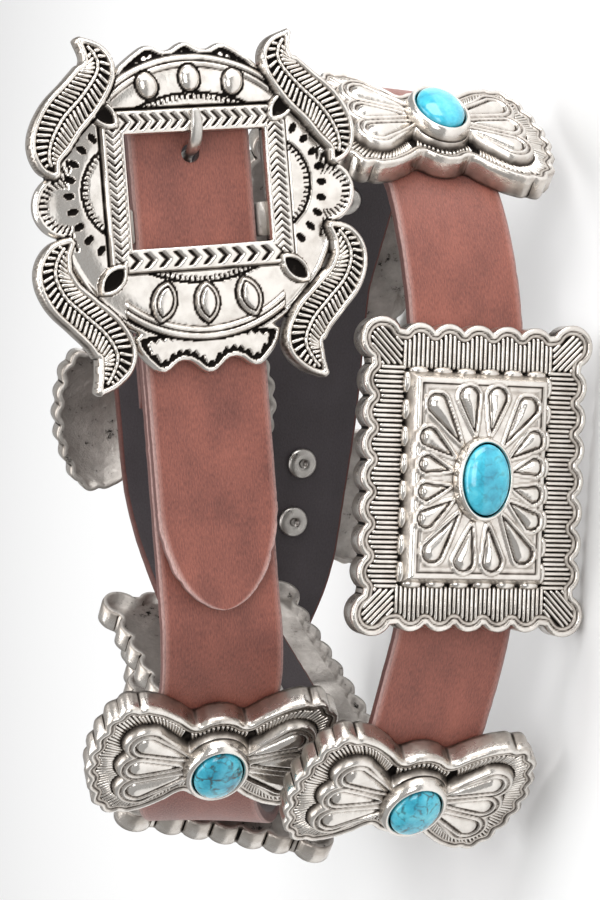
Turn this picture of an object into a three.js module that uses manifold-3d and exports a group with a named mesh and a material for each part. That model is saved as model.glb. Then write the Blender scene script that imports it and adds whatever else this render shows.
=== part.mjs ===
// A western concho belt: a leather strap fastened by a cast buckle, with nine conchos that hold
// turquoise stones. It is wound into two turns and rests on the lower edges of its conchos.
// Millimetres, +Z up. The turns run round in X and Y, and the strap's width stands up along Z.
import * as THREE from 'three';
import { mergeVertices } from 'three/addons/utils/BufferGeometryUtils.js';
import Module from 'manifold-3d';

const wasm = await Module();
wasm.setup();

const gap = 0.3;                    // clearance between pieces that touch
const strapWidth = 30;
const strapThickness = 3;
const tailThickness = 2.4;          // the skived end that is folded back behind the buckle
const tailLength = 42;
const tailClosed = 18;              // from here on the folded end lies against the strap
const tipLength = 24;               // the pointed part of the free end
const pitch = 10;                   // longest step between two sections of a bend
const postRadius = 1.9;
const postHole = postRadius + gap;
const screwRadius = 4.3;
const screwHeight = 1.4;
const prongHoles = { count: 5, spacing: 25, radius: 2.2 };
const foldScrews = { first: 26, second: 36 };   // from the bar along the folded tail

const rect = {
  across: 58.5, along: 74, skirt: 6.5, wall: 1.5, corner: 5.5, scallopsAcross: 5, scallopsAlong: 7,
  depth: 1.9, panelAcross: 37, panelAlong: 51, panelRise: 4.2, panelSlope: 2.2, postSpacing: 22,
  stoneAcross: 11.5, stoneAlong: 17, bezel: 1.5, petals: 16,
};
const butterfly = {
  across: 63, along: 39, waist: 26, skirt: 6.5, wall: 1.5, domeRise: 2.6, postSpacing: 17,
  stoneAcross: 12, stoneAlong: 16, bezel: 2,
};
const bezelSides = 10;             // also the stone's
const bezelHeight = 3.2;
const stoneHeight = 4.6;

const buckle = {
  middle: -3.5, bodyRadius: 34.8, lobeOut: 32, lobeRadius: 7.6, plate: 2.6, ringRadius: 33, band: 5.4, bandHeight: 4.4, ringHeight: 3.8,
  windowHalf: 17.15, windowTop: -19.2, windowBottom: 7.4, tendrilHeight: 5.6, lugReach: 12.4,
  bendStart: 26, bendRadius: 52,
};
const bar = { radius: 1.9, along: 2, depth: 3.8 };

// The strap's way round, a row for each place that it passes. Turn is the heading in degrees, with 0
// along -X and 90 along +Y. Climb is the slope in degrees, and flat is half of a straight stretch.
const rows = [
  { name: 'buckle', x: 53.5, y: 0, height: 104, turn: 0, climb: -9, flat: 46 },
  { name: 'under_tip', x: -35, y: 0.3, height: 90, turn: 0, climb: -9, flat: 6 },
  { name: 'butterfly_1', x: -71.5, y: 20.5, height: 83.3, turn: 43, climb: -5.5, flat: 14 },
  { name: 'rect_1', x: -80, y: 103, height: 50, turn: 128, climb: -12, flat: 15 },
  { name: 'butterfly_4', x: -12, y: 113, height: 31.5, turn: 186, climb: -3, flat: 14 },
  { name: 'rect_2', x: 62, y: 97, height: 31, turn: 212, climb: 0, flat: 15 },
  { name: 'butterfly_2', x: 77, y: 16, height: 38.5, turn: 310, climb: -1, flat: 14 },
  { name: 'rect_3', x: -4, y: -7, height: 32.4, turn: 360, climb: -2, flat: 28 },
  { name: 'butterfly_3', x: -77.5, y: 6.5, height: 36.6, turn: 403, climb: 3, flat: 14 },
  { name: 'rect_4', x: -60, y: 74, height: 55, turn: 485, climb: 10, flat: 15 },
  { name: 'butterfly_5', x: 8, y: 94, height: 76.5, turn: 550, climb: 12, flat: 14 },
  { name: 'over_the_top', x: 89, y: 36, height: 98, turn: 630, climb: 7, flat: 2 },
  { name: 'free_end', x: 53.5, y: -strapThickness - gap, height: 104, turn: 720, climb: -9, flat: 26 },
  { name: 'tip', x: -39, y: -strapThickness - gap, height: 89.35, turn: 720, climb: -9, flat: 1 },
];
// The middle of the wound belt and its lowest edge, in the rows' own numbers. The origin goes there.
const middle = { x: -6.7, y: 58.21, height: -0.22 };
const route = rows.map((row) => ({
  ...row, x: row.x - middle.x, y: row.y - middle.y, height: row.height - middle.height,
}));

const colours = {
  leather: 0x8e4a3c, silver: 0xc9c2b8, nickel: 0x9d958c, turquoise: 0x41b8d0,
};
const finishes = {
  leather: () => new THREE.MeshStandardMaterial({ color: colours.leather, roughness: 0.55, metalness: 0 }),
  silver: () => new THREE.MeshStandardMaterial({ color: colours.silver, roughness: 0.25, metalness: 1 }),
  nickel: () => new THREE.MeshStandardMaterial({ color: colours.nickel, roughness: 0.4, metalness: 1 }),
  turquoise: () => new THREE.MeshStandardMaterial({ color: colours.turquoise, roughness: 0.2, metalness: 0 }),
};

const radians = THREE.MathUtils.degToRad;
const heading = (turn) => new THREE.Vector2(-Math.cos(radians(turn)), Math.sin(radians(turn)));

// Solids and booleans.
function solidOf(geometry) {
  const bare = geometry.index ? geometry.clone() : geometry;
  bare.deleteAttribute('normal');
  bare.deleteAttribute('uv');
  const merged = mergeVertices(bare, 1e-4);
  return new wasm.Manifold(new wasm.Mesh({
    numProp: 3,
    vertProperties: new Float32Array(merged.attributes.position.array),
    triVerts: new Uint32Array(merged.index.array),
  }));
}

function geometryOf(solid) {
  const mesh = solid.getMesh();
  const geometry = new THREE.BufferGeometry();
  geometry.setAttribute('position', new THREE.BufferAttribute(new Float32Array(mesh.vertProperties), 3));
  geometry.setIndex(new THREE.BufferAttribute(new Uint32Array(mesh.triVerts), 1));
  return geometry;
}

const join = (solids) => solids.reduce((sum, solid) => sum.add(solid));

// An outline raised from z = bottom to z = top.
function slab(outline, bottom, top, hole) {
  const shape = new THREE.Shape(outline);
  if (hole) shape.holes.push(new THREE.Path(hole));
  const geometry = new THREE.ExtrudeGeometry(shape, { depth: top - bottom, bevelEnabled: false });
  return solidOf(geometry.translate(0, 0, bottom));
}

// Closed loops of the same number of points, skinned one to the next and capped by fans.
function loft(loops) {
  const count = loops[0].length;
  const points = loops.flat();
  const faces = [];
  for (let ring = 0; ring < loops.length - 1; ring += 1) {
    for (let side = 0; side < count; side += 1) {
      const next = (side + 1) % count;
      const here = ring * count;
      const there = here + count;
      faces.push(here + side, here + next, there + next, here + side, there + next, there + side);
    }
  }
  const last = (loops.length - 1) * count;
  for (let side = 1; side < count - 1; side += 1) {
    faces.push(0, side + 1, side, last, last + side, last + side + 1);
  }
  const geometry = new THREE.BufferGeometry().setFromPoints(points);
  geometry.setIndex(faces);
  return geometry;
}

function ellipse(across, along, count, z) {
  return Array.from({ length: count }, (_, step) => {
    const angle = (step / count) * 2 * Math.PI;
    return new THREE.Vector3(across * Math.cos(angle), along * Math.sin(angle), z);
  });
}

function rod(radius, bottom, top, sides) {
  const geometry = new THREE.CylinderGeometry(radius, radius, top - bottom, sides);
  return geometry.rotateX(Math.PI / 2).translate(0, 0, (top + bottom) / 2);
}

// A bend that leaves one straight and joins the next, rounded off inside the corner of the two.
function bendBetween(from, leaving, to, arriving, turn) {
  const chord = to.clone().sub(from);
  const cross = leaving.cross(arriving);
  if (Math.abs(turn) < 0.02) {
    const third = chord.length() / 3;
    return new THREE.CubicBezierCurve(
      from, from.clone().addScaledVector(leaving, third), to.clone().addScaledVector(arriving, -third), to,
    );
  }
  const rounding = (4 / 3) * Math.tan(turn / 4) / Math.tan(turn / 2);
  const before = rounding * chord.cross(arriving) / cross;
  const after = rounding * leaving.cross(chord) / cross;
  return new THREE.CubicBezierCurve(
    from, from.clone().addScaledVector(leaving, before), to.clone().addScaledVector(arriving, -after), to,
  );
}

// The strap's way round as stretches in plan: a straight one at each place, a bend between two.
function planOf(rows) {
  const pieces = [];
  let travelled = 0;
  rows.forEach((row, index) => {
    const middle = new THREE.Vector2(row.x, row.y);
    const way = heading(row.turn);
    const start = middle.clone().addScaledVector(way, -row.flat);
    const end = middle.clone().addScaledVector(way, row.flat);
    if (index > 0) {
      const before = rows[index - 1];
      const from = pieces.at(-1).end;
      const curve = bendBetween(from, heading(before.turn), start, way, radians(row.turn - before.turn));
      pieces.push({ curve, from: travelled, to: travelled + curve.getLength(), before, row });
      travelled += curve.getLength();
    }
    pieces.push({ row, start, end, from: travelled, to: travelled + 2 * row.flat });
    travelled += 2 * row.flat;
  });
  return pieces;
}

// A place on the strap's middle plane: its point, the way along, outwards and across.
function frameFrom(x, y, height, way, slope) {
  const tilt = Math.atan(slope);
  const along = new THREE.Vector3(way.x * Math.cos(tilt), way.y * Math.cos(tilt), Math.sin(tilt));
  const outward = new THREE.Vector3(-way.y, way.x, 0);
  const across = new THREE.Vector3().crossVectors(along, outward);
  return { point: new THREE.Vector3(x, y, height), along, outward, across };
}

function frameAtRow(row, offset) {
  const way = heading(row.turn);
  const slope = Math.tan(radians(row.climb));
  return frameFrom(row.x + way.x * offset, row.y + way.y * offset, row.height + slope * offset, way, slope);
}

function frameOnBend(piece, part) {
  const length = piece.to - piece.from;
  const point = piece.curve.getPointAt(part);
  const way = piece.curve.getTangentAt(part);
  const startSlope = Math.tan(radians(piece.before.climb));
  const endSlope = Math.tan(radians(piece.row.climb));
  const low = piece.before.height + startSlope * piece.before.flat;
  const high = piece.row.height - endSlope * piece.row.flat;
  const square = part * part;
  const cube = square * part;
  const height = (2 * cube - 3 * square + 1) * low + (cube - 2 * square + part) * length * startSlope
    + (3 * square - 2 * cube) * high + (cube - square) * length * endSlope;
  const slope = ((6 * square - 6 * part) * (low - high)) / length
    + (3 * square - 4 * part + 1) * startSlope + (3 * square - 2 * part) * endSlope;
  return frameFrom(point.x, point.y, height, way, slope);
}

// The frame at a distance along the strap from a row's middle, on its straight or on the bends round it.
function frameAlong(row, offset) {
  const home = plan.find((piece) => piece.row === row && !piece.curve);
  const place = (home.from + home.to) / 2 + offset;
  const piece = plan.find((each) => place >= each.from && place <= each.to);
  if (!piece.curve) return frameAtRow(piece.row, place - (piece.from + piece.to) / 2);
  return frameOnBend(piece, (place - piece.from) / (piece.to - piece.from));
}

const plan = planOf(route);
const rowNamed = (name) => route.find((row) => row.name === name);
const buckleRow = rowNamed('buckle');
const freeRow = rowNamed('free_end');

// Half of the strap's width at a distance from the tip: full, then an ogive down to the point.
function halfWidthNear(distance) {
  if (distance >= tipLength) return strapWidth / 2;
  return Math.max(0.8, (strapWidth / 2) * Math.sqrt(1 - (1 - distance / tipLength) ** 1.8));
}

function sectionOf(frame, halfWidth, halfThickness, lift = 0) {
  const corners = [[-1, -1], [-1, 1], [1, 1], [1, -1]];
  return corners.map(([across, out]) => frame.point.clone()
    .addScaledVector(frame.across, across * halfWidth)
    .addScaledVector(frame.outward, out * halfThickness + lift));
}

// The end that is folded round the bar and back behind the strap.
function foldSections() {
  const home = frameAtRow(buckleRow, bar.along);
  const sections = [];
  const turned = (frame, angle) => ({
    point: frame.point,
    across: frame.across,
    outward: frame.outward.clone().multiplyScalar(Math.cos(angle))
      .addScaledVector(frame.along, -Math.sin(angle)),
  });
  const closed = (strapThickness + tailThickness) / 2 + gap;
  for (const offset of [tailLength, tailClosed]) {
    const tail = turned(frameAtRow(buckleRow, bar.along + offset), Math.PI);
    sections.push(sectionOf(tail, strapWidth / 2, tailThickness / 2, closed));
  }
  const steps = 6;
  for (let step = 0; step <= steps; step += 1) {
    const angle = Math.PI * (1 - step / steps);
    const halfThickness = THREE.MathUtils.lerp(tailThickness, strapThickness, step / steps) / 2;
    const frame = turned(home, angle);
    frame.point = home.point.clone().addScaledVector(home.outward, -bar.depth);
    sections.push(sectionOf(frame, strapWidth / 2, halfThickness, bar.depth));
  }
  return sections;
}

function strapSections() {
  const sections = foldSections();
  const total = plan.at(-1).to;
  const half = strapThickness / 2;
  plan.forEach((piece, index) => {
    if (piece.curve) {
      const length = piece.to - piece.from;
      const straight = piece.before.turn === piece.row.turn;
      const steps = straight ? 1 : Math.ceil(length / pitch);
      for (let step = 1; step < steps; step += 1) {
        sections.push(sectionOf(frameOnBend(piece, step / steps), strapWidth / 2, half));
      }
      return;
    }
    if (piece.to === total) return;
    if (index > 0) sections.push(sectionOf(frameAtRow(piece.row, -piece.row.flat), strapWidth / 2, half));
    sections.push(sectionOf(frameAtRow(piece.row, piece.row.flat), strapWidth / 2, half));
  });
  for (const share of [1, 0.8, 0.6, 0.42, 0.26, 0.13, 0.05, 0]) {
    const back = share * tipLength;
    sections.push(sectionOf(frameAtRow(rowNamed('tip'), -back), halfWidthNear(back), half));
  }
  return sections;
}

// A mesh's place: its own x across the strap, y along it and z outwards.
function placed(group, frame, lift = 0) {
  group.quaternion.setFromRotationMatrix(
    new THREE.Matrix4().makeBasis(frame.across, frame.along, frame.outward),
  );
  group.position.copy(frame.point).addScaledVector(frame.outward, lift);
  return group;
}

function drill(frame, radius, shift) {
  const tool = placed(new THREE.Object3D(), frame);
  tool.updateMatrix();
  const length = 3 * strapThickness;
  return solidOf(rod(radius, -length, length, 6).translate(0, shift, 0).applyMatrix4(tool.matrix));
}

const conchoRows = route.filter((row) => row.name.startsWith('rect') || row.name.startsWith('butterfly'));
const sizesOf = (row) => (row.name.startsWith('rect') ? rect : butterfly);
const prongHoleAlong = -14.2;       // from the buckle's middle to the hole that the prong is in
const slot = { halfWidth: 2.4, reach: 8 };

function strap() {
  let solid = solidOf(loft(strapSections()));
  for (const row of conchoRows) {
    const shift = sizesOf(row).postSpacing / 2;
    for (const side of [-1, 1]) solid = solid.subtract(drill(frameAtRow(row, 0), postHole, side * shift));
  }
  for (let hole = 0; hole < prongHoles.count; hole += 1) {
    const offset = prongHoleAlong - (hole - 1) * prongHoles.spacing;
    solid = solid.subtract(drill(frameAlong(freeRow, offset), prongHoles.radius + gap, 0));
  }
  for (const offset of Object.values(foldScrews)) {
    solid = solid.subtract(drill(frameAtRow(buckleRow, bar.along + offset), postHole, 0));
  }
  const slotBox = new THREE.BoxGeometry(2 * slot.halfWidth, 2 * slot.reach, 2 * bar.depth + 4);
  const tool = placed(new THREE.Object3D(), frameAtRow(buckleRow, bar.along), -bar.depth - 0.4);
  tool.updateMatrix();
  return solid.subtract(solidOf(slotBox.applyMatrix4(tool.matrix)));
}

// A side of a scalloped edge from one corner to the next, bulging to its right.
function scallopedSide(from, to, count, depth, points) {
  const way = to.clone().sub(from);
  const out = new THREE.Vector2(way.y, -way.x).normalize();
  const outline = [];
  for (let lobe = 0; lobe < count; lobe += 1) {
    for (let step = 0; step < points; step += 1) {
      const share = (lobe + step / points) / count;
      const bulge = Math.sin((step / points) * Math.PI) * depth;
      outline.push(from.clone().addScaledVector(way, share).addScaledVector(out, bulge));
    }
  }
  return outline;
}

function rectOutline() {
  const halfAcross = rect.across / 2 - rect.depth;
  const halfAlong = rect.along / 2 - rect.depth;
  const outline = [];
  const corners = [[1, -1], [1, 1], [-1, 1], [-1, -1]];
  corners.forEach(([across, along], index) => {
    const [nextAcross, nextAlong] = corners[(index + 1) % 4];
    const way = new THREE.Vector2(nextAcross - across, nextAlong - along).normalize();
    const from = new THREE.Vector2(across * halfAcross, along * halfAlong).addScaledVector(way, rect.corner);
    const to = new THREE.Vector2(nextAcross * halfAcross, nextAlong * halfAlong).addScaledVector(way, -rect.corner);
    const count = way.x === 0 ? rect.scallopsAlong : rect.scallopsAcross;
    outline.push(...scallopedSide(from, to, count, rect.depth, 3), to);
    const lobe = new THREE.Vector2(nextAcross * (halfAcross - 3.6), nextAlong * (halfAlong - 3.6));
    for (const share of [-0.7, 0, 0.7]) {
      const angle = Math.atan2(nextAlong, nextAcross) + share;
      outline.push(lobe.clone().add(new THREE.Vector2(Math.cos(angle), Math.sin(angle)).multiplyScalar(6.9)));
    }
  });
  return outline;
}

function box(across, along, z) {
  return [[-1, -1], [1, -1], [1, 1], [-1, 1]].map(([x, y]) => new THREE.Vector3(x * across, y * along, z));
}

// A petal: a low drop that is widest near its outer end.
function petal(x, y, angle, length, width, height, z) {
  const geometry = new THREE.SphereGeometry(1, 4, 3);
  geometry.scale(length / 2, width / 2, height);
  return solidOf(geometry.rotateZ(angle).translate(x, y, z));
}

function posts(spacing, ceiling) {
  const bottom = -strapThickness - gap;
  return [-1, 1].map((side) => solidOf(rod(postRadius, bottom, ceiling, 6).translate(0, side * spacing / 2, 0)));
}

// The stone's rim, with a floor for the stone to sit on.
function bezelOf(sizes, floor) {
  const across = sizes.stoneAcross / 2 + gap;
  const along = sizes.stoneAlong / 2 + gap;
  const outer = loft([
    ellipse(across + sizes.bezel, along + sizes.bezel, bezelSides, floor - 1),
    ellipse(across + 0.7, along + 0.7, bezelSides, floor + bezelHeight),
  ]);
  const well = loft([
    ellipse(across, along, bezelSides, floor + 1), ellipse(across, along, bezelSides, floor + bezelHeight + 1),
  ]);
  return { rim: solidOf(outer), well: solidOf(well) };
}

function rectConcho() {
  const outline = rectOutline();
  const halfAcross = rect.panelAcross / 2;
  const halfAlong = rect.panelAlong / 2;
  const top = rect.skirt + rect.panelRise;
  const panelTop = [halfAcross - rect.panelSlope, halfAlong - rect.panelSlope];
  const panel = loft([
    box(halfAcross, halfAlong, rect.skirt - 0.5), box(...panelTop, top - 1), box(panelTop[0] - 2, panelTop[1] - 2, top),
  ]);
  const innerAcross = rect.across / 2 - rect.depth - rect.wall;
  const innerAlong = rect.along / 2 - rect.depth - rect.wall;
  const hollow = loft([box(innerAcross, innerAlong, -1), box(innerAcross, innerAlong, rect.skirt - rect.wall)]);
  const panelHollow = loft([
    box(halfAcross - rect.wall, halfAlong - rect.wall, rect.skirt - 2 * rect.wall),
    box(panelTop[0] - rect.wall, panelTop[1] - rect.wall, top - 1 - rect.wall),
  ]);
  const bezel = bezelOf(rect, top);
  const reach = { across: 12.5, along: 18.5 };
  const rays = Array.from({ length: rect.petals }, (_, step) => {
    const angle = ((step + 0.5) / rect.petals) * 2 * Math.PI;
    const x = Math.cos(angle) * reach.across;
    const y = Math.sin(angle) * reach.along;
    return petal(x * 0.93, y * 0.93, Math.atan2(y, x), 8.5, 3.6, 1.1, top - 0.1);
  });
  return join([slab(outline, 0, rect.skirt), solidOf(panel)]).subtract(solidOf(hollow))
    .subtract(solidOf(panelHollow)).add(join(rays)).add(bezel.rim).subtract(bezel.well)
    .add(join(posts(rect.postSpacing, top - 1)));
}

// A quarter of the bow-tie outline, from the middle of the waist to the middle of the wing's end.
function butterflyOutline(inset, every = 1) {
  const halfAcross = butterfly.across / 2 - inset;
  const halfAlong = butterfly.along / 2 - inset;
  const waist = butterfly.waist / 2 - inset;
  const quarter = [
    [0, waist + 1.6], [3.4, waist + 0.8], [6.5, waist - 0.8], [10.5, waist + 2.4], [16, halfAlong - 0.8],
    [22, halfAlong], [26.6, halfAlong - 2.2], [29.6, halfAlong - 7.2], [halfAcross, 5],
  ].filter((_, index) => index % every === 0).map(([x, y]) => new THREE.Vector2(Math.min(x, halfAcross), y));
  const outline = [];
  const mirrored = (points, x, y) => points.map((point) => new THREE.Vector2(point.x * x, point.y * y));
  outline.push(...mirrored(quarter, 1, 1).reverse(), ...mirrored(quarter.slice(1), -1, 1));
  outline.push(...mirrored(quarter, -1, -1).reverse(), ...mirrored(quarter.slice(1), 1, -1));
  return outline;
}

function butterflyConcho() {
  const top = butterfly.skirt;
  const rise = top + butterfly.domeRise;
  const raised = butterflyOutline(5.5, 2);
  const bezel = bezelOf(butterfly, rise - 0.6);
  const wings = [];
  for (const side of [-1, 1]) {
    for (const fan of [-0.5, 0, 0.5]) {
      const angle = fan + (side < 0 ? Math.PI : 0);
      const x = side * (17 - Math.abs(fan) * 2);
      const y = side * fan * 15;
      wings.push(petal(x, y, angle, 13, 5, 1.3, rise - 0.1));
    }
  }
  return slab(butterflyOutline(0), 0, top).add(slab(raised, top - 0.5, rise))
    .subtract(slab(butterflyOutline(butterfly.wall, 2), -1, top - butterfly.wall))
    .subtract(slab(butterflyOutline(5.5 + butterfly.wall, 2), top - 2 * butterfly.wall, rise - butterfly.wall))
    .add(join(wings)).add(bezel.rim).subtract(bezel.well).add(join(posts(butterfly.postSpacing, rise - 1)));
}

const stoneFloorOf = (sizes) => (sizes === rect ? rect.skirt + rect.panelRise
  : butterfly.skirt + butterfly.domeRise - 0.6) + 1 + gap;

function stone(sizes) {
  const across = sizes.stoneAcross / 2;
  const along = sizes.stoneAlong / 2;
  const girdle = 1.6;
  const rings = [ellipse(across, along, bezelSides, 0), ellipse(across, along, bezelSides, girdle)];
  for (const share of [0.42, 0.8]) {
    const shrink = Math.cos(share * Math.PI / 2);
    const height = girdle + (stoneHeight - girdle) * Math.sin(share * Math.PI / 2);
    rings.push(ellipse(across * shrink, along * shrink, bezelSides, height));
  }
  return loft(rings);
}

// The plate bends back past bendStart, as the strap below it does.
function bendBack(geometry) {
  const position = geometry.attributes.position;
  for (let index = 0; index < position.count; index += 1) {
    const past = Math.max(0, -position.getY(index) - buckle.bendStart);
    position.setZ(index, position.getZ(index) - (past * past) / (2 * buckle.bendRadius));
  }
  return geometry;
}

// The round body with a lobe at each side.
function buckleBody() {
  const round = (x, radius, count) => ellipse(radius, radius, count, 0)
    .map((point) => new THREE.Vector2(point.x + x, point.y + buckle.middle));
  return join([
    slab(round(0, buckle.bodyRadius, 36), 0, buckle.plate),
    ...[-1, 1].map((side) => slab(round(side * buckle.lobeOut, buckle.lobeRadius, 14), 0, buckle.plate)),
  ]);
}

// Half of each toothed crown, from the middle tooth's peak outwards to where it meets the body.
const crowns = {
  top: [
    { x: 0, y: -41 }, { x: 4.6, y: -38 }, { x: 9.2, y: -40.4 }, { x: 13.8, y: -37.4 }, { x: 17.5, y: -34.5 },
    { x: 19.5, y: -29 },
  ],
  bottom: [
    { x: 0, y: 38.5 }, { x: 6, y: 33 }, { x: 11.8, y: 37.6 }, { x: 17.5, y: 31.5 }, { x: 18.5, y: 26 },
  ],
};

function crown(half) {
  const right = half.map((row) => new THREE.Vector2(row.x, row.y));
  const left = half.slice(1).map((row) => new THREE.Vector2(-row.x, row.y)).reverse();
  return slab([...left, ...right], 0, buckle.plate);
}

// The S-shaped feathers, swept along a spine with its own width at each row. A mirrored one is across.
const feathers = {
  top: [
    { x: 26, y: -42, width: 1.2 }, { x: 22.6, y: -38, width: 6.5 }, { x: 22.4, y: -34, width: 9 },
    { x: 26.5, y: -28.5, width: 10.6 }, { x: 31.5, y: -23.5, width: 11 }, { x: 34.8, y: -18, width: 10 },
    { x: 35.4, y: -13.5, width: 6.5 }, { x: 33.6, y: -10, width: 1.6 },
  ],
  bottom: [
    { x: 31.2, y: 4.2, width: 1.6 }, { x: 34.8, y: 7.4, width: 6.5 }, { x: 36.3, y: 12, width: 8.8 },
    { x: 34.4, y: 17.2, width: 9.6 }, { x: 30, y: 21.8, width: 10 }, { x: 25.4, y: 26.6, width: 10.4 },
    { x: 23.2, y: 31.6, width: 10 }, { x: 25, y: 36.2, width: 6.8 }, { x: 28.2, y: 40.2, width: 1.4 },
  ],
};

function featherOutline(rows, mirror) {
  const left = [];
  const right = [];
  rows.forEach((row, index) => {
    const before = rows[Math.max(0, index - 1)];
    const after = rows[Math.min(rows.length - 1, index + 1)];
    const way = new THREE.Vector2(after.x - before.x, after.y - before.y).normalize();
    const out = new THREE.Vector2(way.y, -way.x).multiplyScalar(row.width / 2);
    left.push(new THREE.Vector2(row.x + out.x, row.y + out.y));
    right.push(new THREE.Vector2(row.x - out.x, row.y - out.y));
  });
  return [...left, ...right.reverse()].map((point) => new THREE.Vector2(point.x * mirror, point.y));
}

function buckleFrame() {
  const { windowHalf, windowTop, windowBottom, band } = buckle;
  const corners = (margin) => [
    new THREE.Vector2(-windowHalf - margin, windowTop - margin),
    new THREE.Vector2(windowHalf + margin, windowTop - margin),
    new THREE.Vector2(windowHalf + margin, windowBottom + margin),
    new THREE.Vector2(-windowHalf - margin, windowBottom + margin),
  ];
  const ring = (radius) => ellipse(radius, radius, 24, 0)
    .map((point) => new THREE.Vector2(point.x, point.y + buckle.middle));
  const parts = [
    buckleBody(), crown(crowns.top), crown(crowns.bottom), slab(corners(band), 0, buckle.bandHeight),
    slab(ring(buckle.ringRadius + 1.2), 0, buckle.ringHeight, ring(buckle.ringRadius - 1.2)),
  ];
  for (const x of [-1, 1]) {
    parts.push(slab(featherOutline(feathers.top, x), 0, buckle.tendrilHeight));
    parts.push(slab(featherOutline(feathers.bottom, x), 0, buckle.tendrilHeight));
  }
  for (const x of [-10.8, 0, 10.8]) {
    parts.push(petal(x, -30.8, 0, 4.6, 6, 2.2, buckle.plate));
    parts.push(petal(x, 20.2, 0, 4, 7.6, 2.2, buckle.plate));
  }
  const window = slab(corners(0), -1, buckle.bandHeight + 1);
  const lugs = [-1, 1].map((side) => {
    const lug = new THREE.BoxGeometry(3.6, 8, buckle.lugReach + 1);
    return solidOf(lug.translate(side * (strapWidth / 2 + 0.6 + 1.8), bar.along, (1 - buckle.lugReach) / 2));
  });
  const bore = new THREE.CylinderGeometry(bar.radius + gap, bar.radius + gap, 60, 12).rotateZ(Math.PI / 2);
  bore.translate(0, bar.along, -bar.depth - strapThickness * 1.5 - 2 * gap);
  return bendBack(geometryOf(join(parts).subtract(window).add(join(lugs)).subtract(solidOf(bore))));
}

function prong() {
  const barZ = -bar.depth - strapThickness * 1.5 - 2 * gap;
  const spine = [
    { y: bar.along - 1, z: barZ + 2.6, width: 3.4, height: 1.6 },
    { y: bar.along - 5.2, z: barZ + 3.4, width: 3.4, height: 2 },
    { y: prongHoleAlong + 2.2, z: -5.2, width: 3.2, height: 1.9 },
    { y: prongHoleAlong + 0.1, z: -3.3, width: 2.9, height: 1.8 },
    { y: prongHoleAlong - 0.6, z: 0.4, width: 2.9, height: 1.8 },
    { y: buckle.windowTop + 1, z: 5.2, width: 3, height: 2 },
    { y: buckle.windowTop - 2, z: 6.1, width: 2.8, height: 1.8 },
    { y: buckle.windowTop - 5, z: 5.9, width: 1.8, height: 1.2 },
  ];
  const loops = spine.map((row, index) => {
    const before = spine[Math.max(0, index - 1)];
    const after = spine[Math.min(spine.length - 1, index + 1)];
    const length = Math.hypot(after.y - before.y, after.z - before.z);
    const up = { y: (after.z - before.z) / length, z: (before.y - after.y) / length };
    return [[-1, -1], [1, -1], [1, 1], [-1, 1]].map(([across, lift]) => new THREE.Vector3(
      across * row.width / 2, row.y + lift * up.y * row.height / 2, row.z + lift * up.z * row.height / 2,
    ));
  });
  const eye = new THREE.CylinderGeometry(bar.radius + gap + 1.3, bar.radius + gap + 1.3, 3.4, 14).rotateZ(Math.PI / 2);
  const bore = new THREE.CylinderGeometry(bar.radius + gap, bar.radius + gap, 9, 14).rotateZ(Math.PI / 2);
  return solidOf(loft(loops)).add(solidOf(eye.translate(0, bar.along, barZ)))
    .subtract(solidOf(bore.translate(0, bar.along, barZ)));
}

const belt = new THREE.Group();

function addPiece(name, geometry, finish, parent = belt) {
  const mesh = new THREE.Mesh(geometry, finishes[finish]());
  mesh.name = name;
  parent.add(mesh);
  return mesh;
}

function addScrew(name, parent, shift, depth) {
  addPiece(name, rod(screwRadius, -depth - screwHeight, -depth, 8), 'nickel', parent).position.y = shift;
}

addPiece('strap', geometryOf(strap()), 'leather');
for (const [name, offset] of [['fold_screw_a', foldScrews.first], ['fold_screw_b', foldScrews.second]]) {
  const seat = placed(new THREE.Group(), frameAtRow(buckleRow, bar.along + offset));
  const inner = -strapThickness / 2 - tailThickness - 2 * gap;
  const head = solidOf(rod(screwRadius, inner - screwHeight, inner, 8));
  belt.add(seat);
  addPiece(name, geometryOf(head.add(solidOf(rod(postRadius, inner - 0.5, strapThickness / 2 - gap, 8)))), 'nickel', seat);
}

const platform = placed(new THREE.Group(), frameAtRow(freeRow, 0), strapThickness / 2 + gap);
belt.add(platform);
addPiece('buckle_frame', buckleFrame(), 'silver', platform);
addPiece('buckle_prong', geometryOf(prong()), 'nickel', platform);
const barPiece = new THREE.CylinderGeometry(bar.radius, bar.radius, strapWidth + 7.6, 12).rotateZ(Math.PI / 2);
addPiece('buckle_bar', barPiece, 'nickel', platform)
  .position.set(0, bar.along, -bar.depth - strapThickness * 1.5 - 2 * gap);

const forms = new Map([
  [rect, geometryOf(rectConcho())],
  [butterfly, geometryOf(butterflyConcho())],
]);
for (const row of conchoRows) {
  const sizes = sizesOf(row);
  const seat = placed(new THREE.Group(), frameAtRow(row, 0), strapThickness / 2 + gap);
  belt.add(seat);
  addPiece(`concho_${row.name}`, forms.get(sizes).clone(), 'silver', seat);
  addPiece(`stone_${row.name}`, stone(sizes), 'turquoise', seat).position.z = stoneFloorOf(sizes);
  const depth = strapThickness + 2 * gap;
  addScrew(`screw_${row.name}_a`, seat, -sizes.postSpacing / 2, depth);
  addScrew(`screw_${row.name}_b`, seat, sizes.postSpacing / 2, depth);
}

export default belt;
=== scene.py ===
import math

import bmesh
import bpy
import numpy as np
from mathutils import Matrix, Vector


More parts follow.
